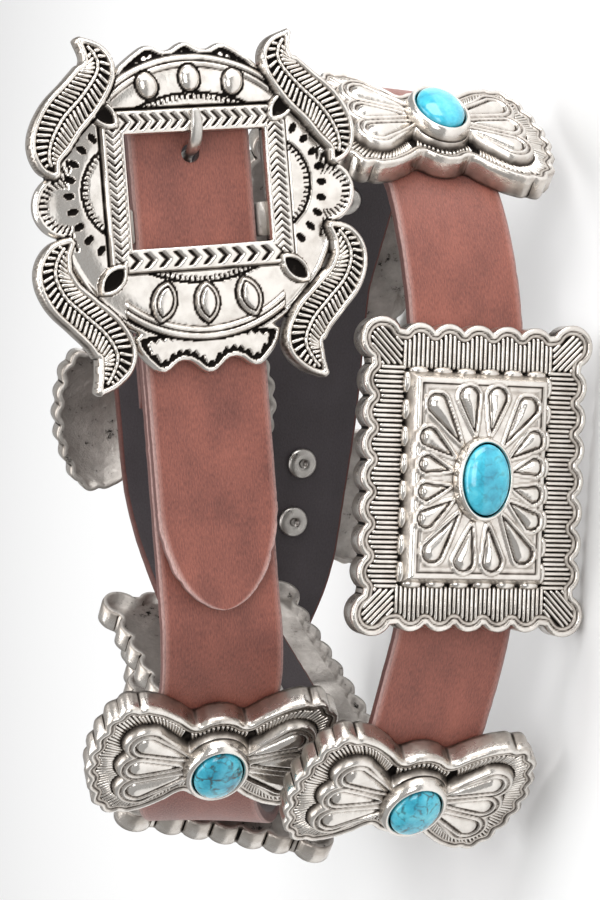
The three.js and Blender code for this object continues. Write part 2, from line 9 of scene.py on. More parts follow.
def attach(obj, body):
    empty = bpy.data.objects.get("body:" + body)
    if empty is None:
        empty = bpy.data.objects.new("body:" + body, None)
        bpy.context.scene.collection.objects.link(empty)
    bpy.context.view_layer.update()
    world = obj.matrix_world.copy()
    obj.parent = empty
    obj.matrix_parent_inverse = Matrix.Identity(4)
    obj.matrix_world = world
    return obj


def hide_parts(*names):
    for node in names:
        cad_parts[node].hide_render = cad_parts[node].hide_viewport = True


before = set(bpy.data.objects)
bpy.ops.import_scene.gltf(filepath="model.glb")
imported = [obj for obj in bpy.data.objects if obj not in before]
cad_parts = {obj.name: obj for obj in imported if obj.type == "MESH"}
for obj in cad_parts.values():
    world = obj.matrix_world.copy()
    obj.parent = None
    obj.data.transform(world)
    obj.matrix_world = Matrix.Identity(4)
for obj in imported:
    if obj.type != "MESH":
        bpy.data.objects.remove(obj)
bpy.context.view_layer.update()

mm = 0.001  # the forms are laid out in millimetres and written in metres


def linked(name, data):
    made = bpy.data.objects.new(name, data)
    bpy.context.scene.collection.objects.link(made)
    return made


# materials
def newMaterial(name):
    material = bpy.data.materials.new(name)
    material.use_nodes = True
    tree = material.node_tree
    tree.nodes.clear()
    shader = tree.nodes.new("ShaderNodeBsdfPrincipled")
    output = tree.nodes.new("ShaderNodeOutputMaterial")
    tree.links.new(shader.outputs["BSDF"], output.inputs["Surface"])
    return material, tree, shader


def addNode(tree, kind, inputs, **settings):
    made = tree.nodes.new(kind)
    for key, value in settings.items():
        setattr(made, key, value)
    for key, value in inputs.items():
        if isinstance(value, bpy.types.NodeSocket):
            tree.links.new(value, made.inputs[key])
        else:
            made.inputs[key].default_value = value
    return made


def mathOf(tree, operation, first, second=0.0, clamp=False):
    values = {0: first, 1: second}
    return addNode(tree, "ShaderNodeMath", values, operation=operation, use_clamp=clamp).outputs[0]


def objectPlace(tree, scale=(1, 1, 1)):
    place = addNode(tree, "ShaderNodeTexCoord", {}).outputs["Object"]
    return addNode(tree, "ShaderNodeMapping", {"Vector": place, "Scale": scale}).outputs[0]


def uvPlace(tree, scale):
    place = addNode(tree, "ShaderNodeUVMap", {}, uv_map="lay").outputs[0]
    return addNode(tree, "ShaderNodeMapping", {"Vector": place, "Scale": scale}).outputs[0]


def noiseOf(tree, place, scale, detail=3.0, roughness=0.55):
    return addNode(tree, "ShaderNodeTexNoise", {
        "Vector": place, "Scale": scale, "Detail": detail, "Roughness": roughness,
    }).outputs["Fac"]


def attributeOf(tree, name):
    return addNode(tree, "ShaderNodeAttribute", {}, attribute_name=name).outputs["Fac"]


def rangeOf(tree, value, low, high, start, end):
    return addNode(tree, "ShaderNodeMapRange", {
        "Value": value, "From Min": low, "From Max": high, "To Min": start, "To Max": end,
    }).outputs["Result"]


def rampOf(tree, value, stops):
    stops = list(stops)
    ramp = addNode(tree, "ShaderNodeValToRGB", {"Fac": value})
    band = ramp.color_ramp
    while len(band.elements) < len(stops):
        band.elements.new(0.5)
    for element, (place, colour) in zip(band.elements, stops):
        element.position = place
        element.color = (*colour, 1)
    return ramp.outputs["Color"]


def mixOf(tree, share, first, second):
    mix = addNode(tree, "ShaderNodeMix", {}, data_type="RGBA")
    for socket, value in ((mix.inputs[0], share), (mix.inputs[6], first), (mix.inputs[7], second)):
        if isinstance(value, bpy.types.NodeSocket):
            tree.links.new(value, socket)
        elif isinstance(value, tuple):
            socket.default_value = (*value, 1)
        else:
            socket.default_value = value
    return mix.outputs[2]


def bumpOn(tree, shader, height, strength, distance):
    bump = addNode(tree, "ShaderNodeBump", {"Height": height, "Strength": strength, "Distance": distance})
    tree.links.new(bump.outputs[0], shader.inputs["Normal"])


def castSilver():
    look = {
        "colours": ((0.83, 0.79, 0.74), (0.55, 0.50, 0.45), (0.13, 0.11, 0.095), (0.012, 0.010, 0.009)),
        "places": (0.0, 0.34, 0.66, 0.95), "patch": 260.0, "patchDepth": 0.2, "smooth": 0.17, "dull": 0.6,
        "pits": 900.0, "pitBump": (0.16, 0.0004),
    }
    material, tree, shader = newMaterial("castSilver")
    place = objectPlace(tree)
    patches = noiseOf(tree, place, look["patch"], 4.0)
    spread = rangeOf(tree, patches, 0.3, 0.75, -look["patchDepth"] * 0.55, look["patchDepth"])
    tarnish = mathOf(tree, "ADD", attributeOf(tree, "recess"), spread, True)
    tree.links.new(rampOf(tree, tarnish, zip(look["places"], look["colours"])), shader.inputs["Base Color"])
    shader.inputs["Metallic"].default_value = 1.0
    tree.links.new(rangeOf(tree, tarnish, 0.0, 0.9, look["smooth"], look["dull"]), shader.inputs["Roughness"])
    bumpOn(tree, shader, noiseOf(tree, place, look["pits"], 3.0), *look["pitBump"])
    return material


def castBack():
    look = {
        "pale": (0.62, 0.585, 0.545), "grey": (0.33, 0.30, 0.275), "spot": (0.018, 0.016, 0.015),
        "cloud": 130.0, "spots": 420.0, "spotBump": (0.45, 0.0006),
    }
    material, tree, shader = newMaterial("castBack")
    place = objectPlace(tree)
    clouds = noiseOf(tree, place, look["cloud"], 5.0, 0.7)
    base = rampOf(tree, clouds, [(0.3, look["pale"]), (0.75, look["grey"])])
    spots = noiseOf(tree, place, look["spots"], 4.0, 0.75)
    share = rangeOf(tree, mathOf(tree, "MULTIPLY", spots, clouds), 0.33, 0.40, 0.0, 1.0)
    tree.links.new(mixOf(tree, share, base, look["spot"]), shader.inputs["Base Color"])
    shader.inputs["Metallic"].default_value = 0.75
    tree.links.new(rangeOf(tree, clouds, 0.3, 0.8, 0.42, 0.66), shader.inputs["Roughness"])
    bumpOn(tree, shader, spots, *look["spotBump"])
    return material


def nickelPlate():
    look = {
        "plate": (0.60, 0.575, 0.54), "dull": (0.30, 0.28, 0.26), "cloud": 350.0,
        "brushed": 2600.0, "brushBump": (0.12, 0.0002),
    }
    material, tree, shader = newMaterial("nickelPlate")
    clouds = noiseOf(tree, objectPlace(tree), look["cloud"], 4.0)
    stain = rangeOf(tree, clouds, 0.35, 0.8, -0.1, 0.5)
    shade = mathOf(tree, "ADD", attributeOf(tree, "recess"), stain, True)
    colour = rampOf(tree, shade, [(0.0, look["plate"]), (0.9, look["dull"])])
    tree.links.new(colour, shader.inputs["Base Color"])
    shader.inputs["Metallic"].default_value = 1.0
    tree.links.new(rangeOf(tree, clouds, 0.3, 0.8, 0.24, 0.42), shader.inputs["Roughness"])
    brushed = noiseOf(tree, objectPlace(tree, (1, 1, 0.2)), look["brushed"])
    bumpOn(tree, shader, brushed, *look["brushBump"])
    return material


# Dyed leather with a fine grain that is drawn out along the strap, and a pale pinkish colour mixed in along
# its edges that stands for wear and a painted highlight on the rounded arris.
def grainLeather(name, look):
    material, tree, shader = newMaterial(name)
    grain = noiseOf(tree, uvPlace(tree, look["grain"]), 1.0, 3.0, 0.6)
    clouds = noiseOf(tree, uvPlace(tree, (60, 90, 1)), 1.0, 4.0)
    tone = mathOf(tree, "ADD", mathOf(tree, "MULTIPLY", grain, 0.55), mathOf(tree, "MULTIPLY", clouds, 0.45))
    base = rampOf(tree, tone, [(0.32, look["deep"]), (0.68, look["light"])])
    patches = rangeOf(tree, grain, 0.3, 0.6, 0.55, 1.0)
    # The pale colour mixed in here is wear and a painted highlight along the edges.
    paleWearAndHighlight = mathOf(tree, "MULTIPLY", attributeOf(tree, "wearAndHighlight"), patches, True)
    tree.links.new(mixOf(tree, paleWearAndHighlight, base, look["paleWearAndHighlight"]), shader.inputs["Base Color"])
    shader.inputs["IOR"].default_value = look["ior"]
    shader.inputs["Sheen Weight"].default_value = look["sheen"]
    shader.inputs["Sheen Roughness"].default_value = 0.45
    shader.inputs["Sheen Tint"].default_value = (1.0, 0.86, 0.84, 1.0)
    tree.links.new(rangeOf(tree, grain, 0.3, 0.7, *look["rough"]), shader.inputs["Roughness"])
    bumpOn(tree, shader, grain, look["bump"], 0.00025)
    return material


def veinedStone():
    look = {
        "deep": (0.02, 0.30, 0.44), "blue": (0.055, 0.50, 0.66), "pale": (0.16, 0.66, 0.76),
        "vein": (0.022, 0.075, 0.09), "cells": 330.0, "coat": 0.6, "coatRoughness": 0.08,
    }
    material, tree, shader = newMaterial("veinedStone")
    place = objectPlace(tree)
    clouds = noiseOf(tree, place, 170.0, 5.0, 0.6)
    base = rampOf(tree, clouds, [(0.32, look["deep"]), (0.5, look["blue"]), (0.7, look["pale"])])
    warp = addNode(tree, "ShaderNodeTexNoise", {"Vector": place, "Scale": 300.0, "Detail": 4.0})
    shift = {0: warp.outputs["Color"], 3: 0.0035}
    bend = addNode(tree, "ShaderNodeVectorMath", shift, operation="SCALE").outputs[0]
    bent = addNode(tree, "ShaderNodeVectorMath", {0: place, 1: bend}, operation="ADD").outputs[0]
    pattern = {"Vector": bent, "Scale": look["cells"]}
    cells = addNode(tree, "ShaderNodeTexVoronoi", pattern, feature="DISTANCE_TO_EDGE")
    web = rangeOf(tree, cells.outputs["Distance"], 0.02, 0.13, 1.0, 0.0)
    kept = rangeOf(tree, noiseOf(tree, place, 420.0), 0.42, 0.6, 0.0, 1.0)
    broken = mathOf(tree, "MULTIPLY", web, kept, True)
    share = mathOf(tree, "MULTIPLY", broken, attributeOf(tree, "vein"), True)
    tree.links.new(mixOf(tree, share, base, look["vein"]), shader.inputs["Base Color"])
    tree.links.new(rangeOf(tree, share, 0.0, 1.0, 0.12, 0.35), shader.inputs["Roughness"])
    shader.inputs["Coat Weight"].default_value = look["coat"]
    shader.inputs["Coat Roughness"].default_value = look["coatRoughness"]
    bumpOn(tree, shader, share, -0.1, 0.0002)
    return material


silver = castSilver()
silverBack = castBack()
nickel = nickelPlate()
# Each leather's pale pinkish colour is wear and a painted highlight along the strap's edges.
leatherFace = grainLeather("leatherFace", {
    "grain": (900, 3200, 1), "deep": (0.105, 0.021, 0.013), "light": (0.36, 0.105, 0.068),
    "paleWearAndHighlight": (0.66, 0.40, 0.35), "ior": 1.6, "sheen": 0.22, "rough": (0.56, 0.42), "bump": 0.9,
})
leatherEdge = grainLeather("leatherEdge", {
    "grain": (900, 2200, 1), "deep": (0.060, 0.016, 0.012), "light": (0.13, 0.036, 0.026),
    "paleWearAndHighlight": (0.70, 0.46, 0.42), "ior": 1.5, "sheen": 0.1, "rough": (0.6, 0.5), "bump": 0.4,
})
leatherBack = grainLeather("leatherBack", {
    "grain": (1500, 2300, 1), "deep": (0.035, 0.027, 0.030), "light": (0.062, 0.052, 0.058),
    "paleWearAndHighlight": (0.12, 0.09, 0.09), "ior": 1.5, "sheen": 0.25, "rough": (0.62, 0.5), "bump": 0.3,
})
turquoise = veinedStone()
print("materials made")


# the strap's way round, the same rows as the solid has
middle = {"x": -6.7, "y": 58.21, "height": -0.22}
strapSize = {
    "width": 30.0, "thickness": 3.0, "tail": 2.4, "tailLength": 42.0, "tailClosed": 18.0, "tip": 24.0,
}
gap = 0.3  # between pieces that touch on the real belt
routeRows = [  # name, x, y, height, turn and climb in degrees, half of the flat stretch
    ("buckle", 53.5, 0, 104, 0, -9, 46),
    ("under_tip", -35, 0.3, 90, 0, -9, 6),
    ("butterfly_1", -71.5, 20.5, 83.3, 43, -5.5, 14),
    ("rect_1", -80, 103, 50, 128, -12, 15),
    ("butterfly_4", -12, 113, 31.5, 186, -3, 14),
    ("rect_2", 62, 97, 31, 212, 0, 15),
    ("butterfly_2", 77, 16, 38.5, 310, -1, 14),
    ("rect_3", -4, -7, 32.4, 360, -2, 28),
    ("butterfly_3", -77.5, 6.5, 36.6, 403, 3, 14),
    ("rect_4", -60, 74, 55, 485, 10, 15),
    ("butterfly_5", 8, 94, 76.5, 550, 12, 14),
    ("over_the_top", 89, 36, 98, 630, 7, 2),
    ("free_end", 53.5, -3.3, 104, 720, -9, 26),
    ("tip", -39, -3.3, 89.35, 720, -9, 1),
]
route = [dict(zip(("name", "x", "y", "height", "turn", "climb", "flat"), row)) for row in routeRows]
for row in route:
    for key, value in middle.items():
        row[key] -= value
rowNamed = {row["name"]: row for row in route}


def headingOf(turn):
    return np.array([-math.cos(math.radians(turn)), math.sin(math.radians(turn))])


def crossOf(a, b):
    return a[0] * b[1] - a[1] * b[0]


# How far along a line of points each of them is.
def lengthsAlong(points):
    return np.concatenate([[0], np.cumsum(np.linalg.norm(np.diff(points, axis=0), axis=1))])


def spotsAt(places, far, line):
    return np.stack([np.interp(places, far, line[:, k]) for k in (0, 1)], 1)


def bendBetween(start, leaving, end, arriving, turn):
    chord = end - start
    if abs(turn) < 0.02:
        before = after = np.linalg.norm(chord) / 3
    else:
        rounding = (4 / 3) * math.tan(turn / 4) / math.tan(turn / 2)
        before = rounding * crossOf(chord, arriving) / crossOf(leaving, arriving)
        after = rounding * crossOf(leaving, chord) / crossOf(leaving, arriving)
    handles = np.array([start, start + leaving * before, end - arriving * after, end])
    t = np.linspace(0, 1, 401)[:, None]
    spots = ((1 - t) ** 3 * handles[0] + 3 * (1 - t) ** 2 * t * handles[1]
             + 3 * (1 - t) * t ** 2 * handles[2] + t ** 3 * handles[3])
    return {"handles": handles, "far": lengthsAlong(spots), "t": t[:, 0]}


def planOf(rows):
    stretches = []
    travelled = 0.0
    for index, row in enumerate(rows):
        centre = np.array([row["x"], row["y"]], float)
        way = headingOf(row["turn"])
        start = centre - way * row["flat"]
        end = centre + way * row["flat"]
        if index > 0:
            before = rows[index - 1]
            turn = math.radians(row["turn"] - before["turn"])
            bend = bendBetween(stretches[-1]["end"], headingOf(before["turn"]), start, way, turn)
            after = travelled + bend["far"][-1]
            stretches.append({"bend": bend, "from": travelled, "to": after, "before": before, "row": row})
            travelled = after
        stretches.append({"row": row, "from": travelled, "to": travelled + 2 * row["flat"], "end": end})
        travelled += 2 * row["flat"]
    return stretches


def frameFrom(x, y, height, way, slope):
    tilt = math.atan(slope)
    along = Vector((way[0] * math.cos(tilt), way[1] * math.cos(tilt), math.sin(tilt)))
    outward = Vector((-way[1], way[0], 0.0))
    across = along.cross(outward)
    return {"point": Vector((x, y, height)), "along": along, "outward": outward, "across": across}


def frameAtRow(row, offset=0.0):
    way = headingOf(row["turn"])
    slope = math.tan(math.radians(row["climb"]))
    x, y = row["x"] + way[0] * offset, row["y"] + way[1] * offset
    return frameFrom(x, y, row["height"] + slope * offset, way, slope)


def frameOnBend(piece, part):
    length = piece["to"] - piece["from"]
    bend = piece["bend"]
    t = float(np.interp(part * bend["far"][-1], bend["far"], bend["t"]))
    a, b, c, d = bend["handles"]
    point = (1 - t) ** 3 * a + 3 * (1 - t) ** 2 * t * b + 3 * (1 - t) * t ** 2 * c + t ** 3 * d
    way = 3 * (1 - t) ** 2 * (b - a) + 6 * (1 - t) * t * (c - b) + 3 * t ** 2 * (d - c)
    way = way / np.linalg.norm(way)
    startSlope = math.tan(math.radians(piece["before"]["climb"]))
    endSlope = math.tan(math.radians(piece["row"]["climb"]))
    low = piece["before"]["height"] + startSlope * piece["before"]["flat"]
    high = piece["row"]["height"] - endSlope * piece["row"]["flat"]
    square, cube = part * part, part ** 3
    height = ((2 * cube - 3 * square + 1) * low + (cube - 2 * square + part) * length * startSlope
              + (3 * square - 2 * cube) * high + (cube - square) * length * endSlope)
    slope = ((6 * square - 6 * part) * (low - high) / length
             + (3 * square - 4 * part + 1) * startSlope + (3 * square - 2 * part) * endSlope)
    return frameFrom(point[0], point[1], height, way, slope)


plan = planOf(route)


def frameAt(place):
    piece = next(each for each in plan if each["from"] - 1e-6 <= place <= each["to"] + 1e-6)
    if "bend" not in piece:
        return frameAtRow(piece["row"], place - (piece["from"] + piece["to"]) / 2)
    return frameOnBend(piece, (place - piece["from"]) / (piece["to"] - piece["from"]))


def placeOf(name):
    home = next(each for each in plan if each["row"]["name"] == name and "bend" not in each)
    return (home["from"] + home["to"]) / 2


# The matrix from a form's own millimetres to its place on the strap, in metres.
def seatOf(near, lift):
    origin = near["point"] + near["outward"] * lift
    turn = Matrix((near["across"], near["along"], near["outward"])).transposed().to_4x4()
    return Matrix.Scale(mm, 4) @ Matrix.Translation(origin) @ turn


# forms: points, faces and the darkness of their recesses
def newForm():
    return {"points": [], "faces": [], "recess": [], "slots": [], "count": 0}


def addTo(form, points, faces, recess, slot=0):
    points = np.asarray(points, float)
    base = form["count"]
    form["points"].append(points)
    form["recess"].append(np.broadcast_to(np.asarray(recess, float), (len(points),)))
    form["faces"].extend([tuple(int(corner) + base for corner in face) for face in faces])
    form["slots"].extend([slot] * len(faces))
    form["count"] += len(points)


def meshOf(name, form, materials, attribute="recess"):
    mesh = bpy.data.meshes.new(name)
    mesh.from_pydata(np.concatenate(form["points"]).tolist(), [], form["faces"])
    mesh.attributes.new(attribute, "FLOAT", "POINT").data.foreach_set("value", np.concatenate(form["recess"]))
    for material in materials:
        mesh.materials.append(material)
    mesh.polygons.foreach_set("material_index", np.array(form["slots"], dtype=np.int32))
    mesh.polygons.foreach_set("use_smooth", np.ones(len(form["slots"]), dtype=bool))
    mesh.update()
    return mesh


# Turns the faces outwards.
def outwards(mesh):
    shell = bmesh.new()
    shell.from_mesh(mesh)
    bmesh.ops.recalc_face_normals(shell, faces=shell.faces[:])
    shell.to_mesh(mesh)
    shell.free()


def newPiece(name, mesh, node, matrix):
    mesh.transform(matrix)
    piece = linked(name, mesh)
    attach(piece, "root")
    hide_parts(node)


def newCasting(name, form, materials, node, matrix, attribute="recess"):
    mesh = meshOf(name, form, materials, attribute)
    outwards(mesh)
    newPiece(name, mesh, node, matrix)


# Squares between rings of points that each have the same count.
def ringFaces(rings, count):
    faces = []
    for ring in range(rings - 1):
        here, there = ring * count, (ring + 1) * count
        for side in range(count):
            after = (side + 1) % count
            faces.append((here + side, here + after, there + after, there + side))
    return faces


# The two flat ends of a row of rings.
def endFaces(rings, count):
    return [tuple(range(count - 1, -1, -1)), tuple(range((rings - 1) * count, rings * count))]


# A height or a darkness, read from a table of places and values.
def readFrom(table, value):
    return np.interp(value, *table)


def softStep(low, high, value):
    share = np.clip((value - low) / (high - low), 0, 1)
    return share * share * (3 - 2 * share)


# A function of x and y: how far inside a closed outline a point is, negative outside.
def distanceTo(outline):
    outline = np.asarray(outline, float)
    following = np.roll(outline, -1, axis=0)

    def measure(x, y):
        best = np.full(x.shape, 1e9)
        inside = np.zeros(x.shape, bool)
        for (ax, ay), (bx, by) in zip(outline, following):
            ex, ey = bx - ax, by - ay
            wx, wy = x - ax, y - ay
            share = np.clip((wx * ex + wy * ey) / (ex * ex + ey * ey + 1e-12), 0, 1)
            best = np.minimum(best, (wx - ex * share) ** 2 + (wy - ey * share) ** 2)
            if ay != by:
                inside ^= ((ay > y) != (by > y)) & (x < ex * (y - ay) / ey + ax)
        return np.where(inside, 1.0, -1.0) * np.sqrt(best)
    return measure


# A fine sheet over the inside of an outline, with its rim moved onto the outline.
def reliefTop(distance, heightOf, reach, step):
    xs = np.arange(reach[0], reach[1] + step, step)
    ys = np.arange(reach[2], reach[3] + step, step)
    x, y = np.meshgrid(xs, ys)
    deep = distance(x, y)
    slopeY, slopeX = np.gradient(deep, step)
    size = np.hypot(slopeX, slopeY) + 1e-9
    slopeX, slopeY = slopeX / size, slopeY / size
    near = deep > -0.45 * step
    cell = near[:-1, :-1] & near[:-1, 1:] & near[1:, 1:] & near[1:, :-1]
    for _ in range(4):
        ringed = np.pad(cell, 1)
        a, b, c, d = ringed[:-1, :-1], ringed[:-1, 1:], ringed[1:, 1:], ringed[1:, :-1]
        pinched = (a & c & ~b & ~d) | (b & d & ~a & ~c)
        if not pinched.any():
            break
        for row, column in zip(*np.nonzero(pinched)):
            cell[max(row - 1, 0):row + 1, max(column - 1, 0):column + 1] = False
    ringed = np.pad(cell, 1).astype(int)
    around = ringed[:-1, :-1] + ringed[:-1, 1:] + ringed[1:, 1:] + ringed[1:, :-1]
    rim = (around > 0) & (around < 4)
    x = np.where(rim, x - slopeX * deep, x)
    y = np.where(rim, y - slopeY * deep, y)
    number = np.full(x.shape, -1)
    used = around > 0
    number[used] = np.arange(used.sum())
    quads = np.stack([number[:-1, :-1], number[:-1, 1:], number[1:, 1:], number[1:, :-1]], -1)[cell]
    flatX, flatY = x[used], y[used]
    height, recess = heightOf(flatX, flatY)
    inward = np.stack([slopeX[used], slopeY[used]], 1)
    total = len(flatX)
    edges = np.concatenate([quads[:, [k, (k + 1) % 4]] for k in range(4)])
    codes = edges[:, 0] * total + edges[:, 1]
    backwards = edges[:, 1] * total + edges[:, 0]
    free = edges[~np.isin(codes, backwards)]
    following = dict(zip(free[:, 0].tolist(), free[:, 1].tolist()))
    loops = []
    while following:
        first = next(iter(following))
        loop = [first]
        after = following.pop(first)
        while after != first and after in following:
            loop.append(after)
            after = following.pop(after)
        loops.append(np.array(loop))
    loops = [each for each in loops if len(each) > 8]
    return np.stack([flatX, flatY, height], 1), quads, recess, loops, inward


# Triangles over flat loops, faced downwards.
def capOf(points, loops):
    flat = bmesh.new()
    corners = [flat.verts.new((point[0], point[1], 0.0)) for point in points]
    for loop in loops:
        for here, there in zip(loop, np.roll(loop, -1)):
            flat.edges.new((corners[here], corners[there]))
    flat.verts.index_update()
    bmesh.ops.triangle_fill(flat, use_beauty=True, use_dissolve=False, edges=flat.edges[:])
    faces = []
    for face in flat.faces:
        order = [corner.index for corner in face.verts]
        faces.append(order if face.normal.z < 0 else order[::-1])
    flat.free()
    return faces


# A flat back with the same squares as the relief, joined to the walls' lowest ring.
def addBackSheet(form, points, quads, rim, lowest):
    number = np.full(len(points), -1)
    number[rim] = lowest
    inner = np.nonzero(number < 0)[0]
    number[inner] = form["count"] + np.arange(len(inner))
    flat = points[inner].copy()
    flat[:, 2] = 0.0
    addTo(form, flat, [], 0.5)
    faces = number[quads[:, ::-1]]
    form["faces"].extend([tuple(face) for face in faces.tolist()])
    form["slots"].extend([1] * len(faces))


# A relief sheet with walls below its rim. Each row of the walls is an inset, a height and a darkness,
# and the back's finish starts at the fourth row.
def addCasting(form, distance, heightOf, reach, step, rows, backSheet=False):
    points, quads, recess, loops, inward = reliefTop(distance, heightOf, reach, step)
    addTo(form, points, quads, recess)
    base = form["count"] - len(points)
    rim = np.concatenate(loops)
    spans = np.cumsum([0] + [len(loop) for loop in loops])
    local = [np.arange(start, end) for start, end in zip(spans[:-1], spans[1:])]
    valley = np.zeros(len(rim))
    for loop, places in zip(loops, local):
        spots = points[loop, :2]
        before, after = spots - np.roll(spots, 2, axis=0), np.roll(spots, -2, axis=0) - spots
        turn = before[:, 0] * after[:, 1] - before[:, 1] * after[:, 0]
        turn = turn / (np.linalg.norm(before, axis=1) * np.linalg.norm(after, axis=1) + 1e-9)
        valley[places] = softStep(0.25, 0.7, -turn)
    above = rim + base
    for number, (inset, height, dark) in enumerate(rows):
        ring = np.empty((len(rim), 3))
        ring[:, :2] = points[rim, :2] + inward[rim] * inset
        ring[:, 2] = height
        slot = 1 if number >= 3 else 0
        start = form["count"]
        addTo(form, ring, [], np.clip(dark + (valley if number < 2 else 0), 0, 1))
        for places in local:
            for here, there in zip(places, np.roll(places, -1)):
                corners = (above[there], above[here], start + here, start + there)
                form["faces"].append(tuple(int(corner) for corner in corners))
                form["slots"].append(slot)
        above = np.arange(start, start + len(rim))
    if backSheet:
        addBackSheet(form, points, quads, rim, above)
        return
    faces = capOf(ring, local)
    form["faces"].extend([tuple(int(above[corner]) for corner in face) for face in faces])
    form["slots"].extend([1] * len(faces))


# Rows of an outset, a scale, a height and a darkness, swept round an oval from outside in, both ends flat.
def addOvalSweep(form, halfAcross, halfAlong, rows, count):
    angle = np.arange(count) / count * 2 * math.pi
    points, recess = [], []
    for outset, scale, height, dark in rows:
        points.append(np.stack([
            (halfAcross + outset) * scale * np.cos(angle), (halfAlong + outset) * scale * np.sin(angle),
            np.full(count, height),
        ], 1))
        recess.append(np.full(count, dark))
    faces = ringFaces(len(rows), count) + endFaces(len(rows), count)
    addTo(form, np.concatenate(points), faces, np.concatenate(recess))


# How far inside a drop a point is. The drop's radius grows from its start to its end.
def dropDepth(x, y, start, end, startRadius, endRadius):
    ex, ey = end[0] - start[0], end[1] - start[1]
    share = np.clip(((x - start[0]) * ex + (y - start[1]) * ey) / (ex * ex + ey * ey), 0, 1)
    radius = startRadius + (endRadius - startRadius) * share ** 0.85
    return radius - np.hypot(x - start[0] - ex * share, y - start[1] - ey * share)


# stamped rows: one tree sets a stamp on each point, turned and stretched as the point says
def stampTree():
    tree = bpy.data.node_groups.new("stampRow", "GeometryNodeTree")
    sockets = {}
    for name, kind in (
        ("Points", "NodeSocketGeometry"), ("Stamp", "NodeSocketObject"), ("Breadth", "NodeSocketFloat"),
        ("Rise", "NodeSocketFloat"), ("Unevenness", "NodeSocketFloat"), ("Seed", "NodeSocketInt"),
        ("Finish", "NodeSocketMaterial"),
    ):
        sockets[name] = tree.interface.new_socket(name, in_out="INPUT", socket_type=kind).identifier
    tree.interface.new_socket("Row", in_out="OUTPUT", socket_type="NodeSocketGeometry")
    given = tree.nodes.new("NodeGroupInput").outputs
    stamp = addNode(tree, "GeometryNodeObjectInfo", {"Object": given["Stamp"]}).outputs["Geometry"]
    turn, reach = (
        addNode(tree, "GeometryNodeInputNamedAttribute", {"Name": name}, data_type="FLOAT").outputs[0]
        for name in ("turn", "reach")
    )
    euler = addNode(tree, "ShaderNodeCombineXYZ", {"Z": turn}).outputs[0]
    rotation = addNode(tree, "FunctionNodeEulerToRotation", {"Euler": euler}).outputs[0]
    least = mathOf(tree, "SUBTRACT", 1.0, given["Unevenness"])
    most = mathOf(tree, "ADD", 1.0, given["Unevenness"])
    chance = tree.nodes.new("FunctionNodeRandomValue")
    chance.data_type = "FLOAT"
    for key, value in ((2, least), (3, most), ("Seed", given["Seed"])):
        tree.links.new(value, chance.inputs[key])
    lift = mathOf(tree, "MULTIPLY", given["Rise"], chance.outputs[1])
    scale = addNode(tree, "ShaderNodeCombineXYZ", {"X": reach, "Y": given["Breadth"], "Z": lift}).outputs[0]
    placed = addNode(tree, "GeometryNodeInstanceOnPoints", {
        "Points": given["Points"], "Instance": stamp, "Rotation": rotation, "Scale": scale,
    }).outputs[0]
    real = addNode(tree, "GeometryNodeRealizeInstances", {"Geometry": placed}).outputs[0]
    finish = {"Geometry": real, "Material": given["Finish"]}
    finished = addNode(tree, "GeometryNodeSetMaterial", finish).outputs[0]
    tree.links.new(finished, tree.nodes.new("NodeGroupOutput").inputs["Row"])
    return tree, sockets


stampRow, stampSockets = stampTree()


# A bar along X of length and width 1. Each section is a place, a width and a height.
def stampObject(name, sections, points, foot=0.85):
    angles = np.linspace(0, math.pi, points)
    rings = [[(place, -0.5 * width * math.cos(a), height * math.sin(a)) for a in angles]
             for place, width, height in sections]
    dark = np.tile(foot * (1 - np.sin(angles)) ** 1.5, len(sections))
    form = newForm()
    faces = ringFaces(len(sections), points) + endFaces(len(sections), points)
    addTo(form, np.array(rings).reshape(-1, 3), faces, dark)
    mesh = meshOf(name, form, [silver])
    outwards(mesh)
    return linked(name, mesh)


ribEnd = [(-0.5, 0.5, 0.35), (-0.46, 0.9, 0.85), (-0.4, 1, 1)]
domeEnd = [(-0.5, 0.2, 0.1), (-0.4, 0.62, 0.62), (-0.2, 0.93, 0.93), (0, 1, 1)]
ribStamp = stampObject("ribStamp", ribEnd + [(-place, *size) for place, *size in ribEnd[::-1]], 5)
domeStamp = stampObject("domeStamp", domeEnd + [(-place, *size) for place, *size in domeEnd[-2::-1]], 7)


# Each row is x, y, z, the turn in radians and the reach along it.
def addStamps(form, stamp, rows, breadth, rise, unevenness=0.08, seed=3):
    rows = np.array(rows, float)
    mesh = bpy.data.meshes.new("rowPoints")
    mesh.from_pydata(rows[:, :3].tolist(), [], [])
    for column, name in ((3, "turn"), (4, "reach")):
        mesh.attributes.new(name, "FLOAT", "POINT").data.foreach_set("value", rows[:, column].copy())
    carrier = linked("rowPoints", mesh)
    modifier = carrier.modifiers.new("stampRow", "NODES")
    modifier.node_group = stampRow
    settings = {
        "Stamp": stamp, "Breadth": breadth, "Rise": rise, "Unevenness": unevenness, "Seed": seed,
        "Finish": silver,
    }
    for name, value in settings.items():
        modifier[stampSockets[name]] = value
    made = bpy.data.meshes.new_from_object(carrier.evaluated_get(bpy.context.evaluated_depsgraph_get()))
    points = np.empty(len(made.vertices) * 3)
    made.vertices.foreach_get("co", points)
    recess = np.empty(len(made.vertices))
    made.attributes["recess"].data.foreach_get("value", recess)
    addTo(form, points.reshape(-1, 3), [tuple(face.vertices) for face in made.polygons], recess)
    bpy.data.objects.remove(carrier)
    bpy.data.meshes.remove(made)
    bpy.data.meshes.remove(mesh)


# For each line from a start along a way, the first stretch of it that is allowed.
def spanWithin(starts, ways, allowed, length, step=0.12):
    places = np.arange(0, length, step)
    x = starts[:, :1] + ways[:, :1] * places
    y = starts[:, 1:] + ways[:, 1:] * places
    good = allowed(x, y)
    spans = []
    for line in good:
        if not line.any():
            spans.append(None)
            continue
        first = int(np.argmax(line))
        rest = line[first:]
        last = first + (int(np.argmin(rest)) if not rest.all() else len(rest)) - 1
        spans.append((places[first], places[last]))
    return spans


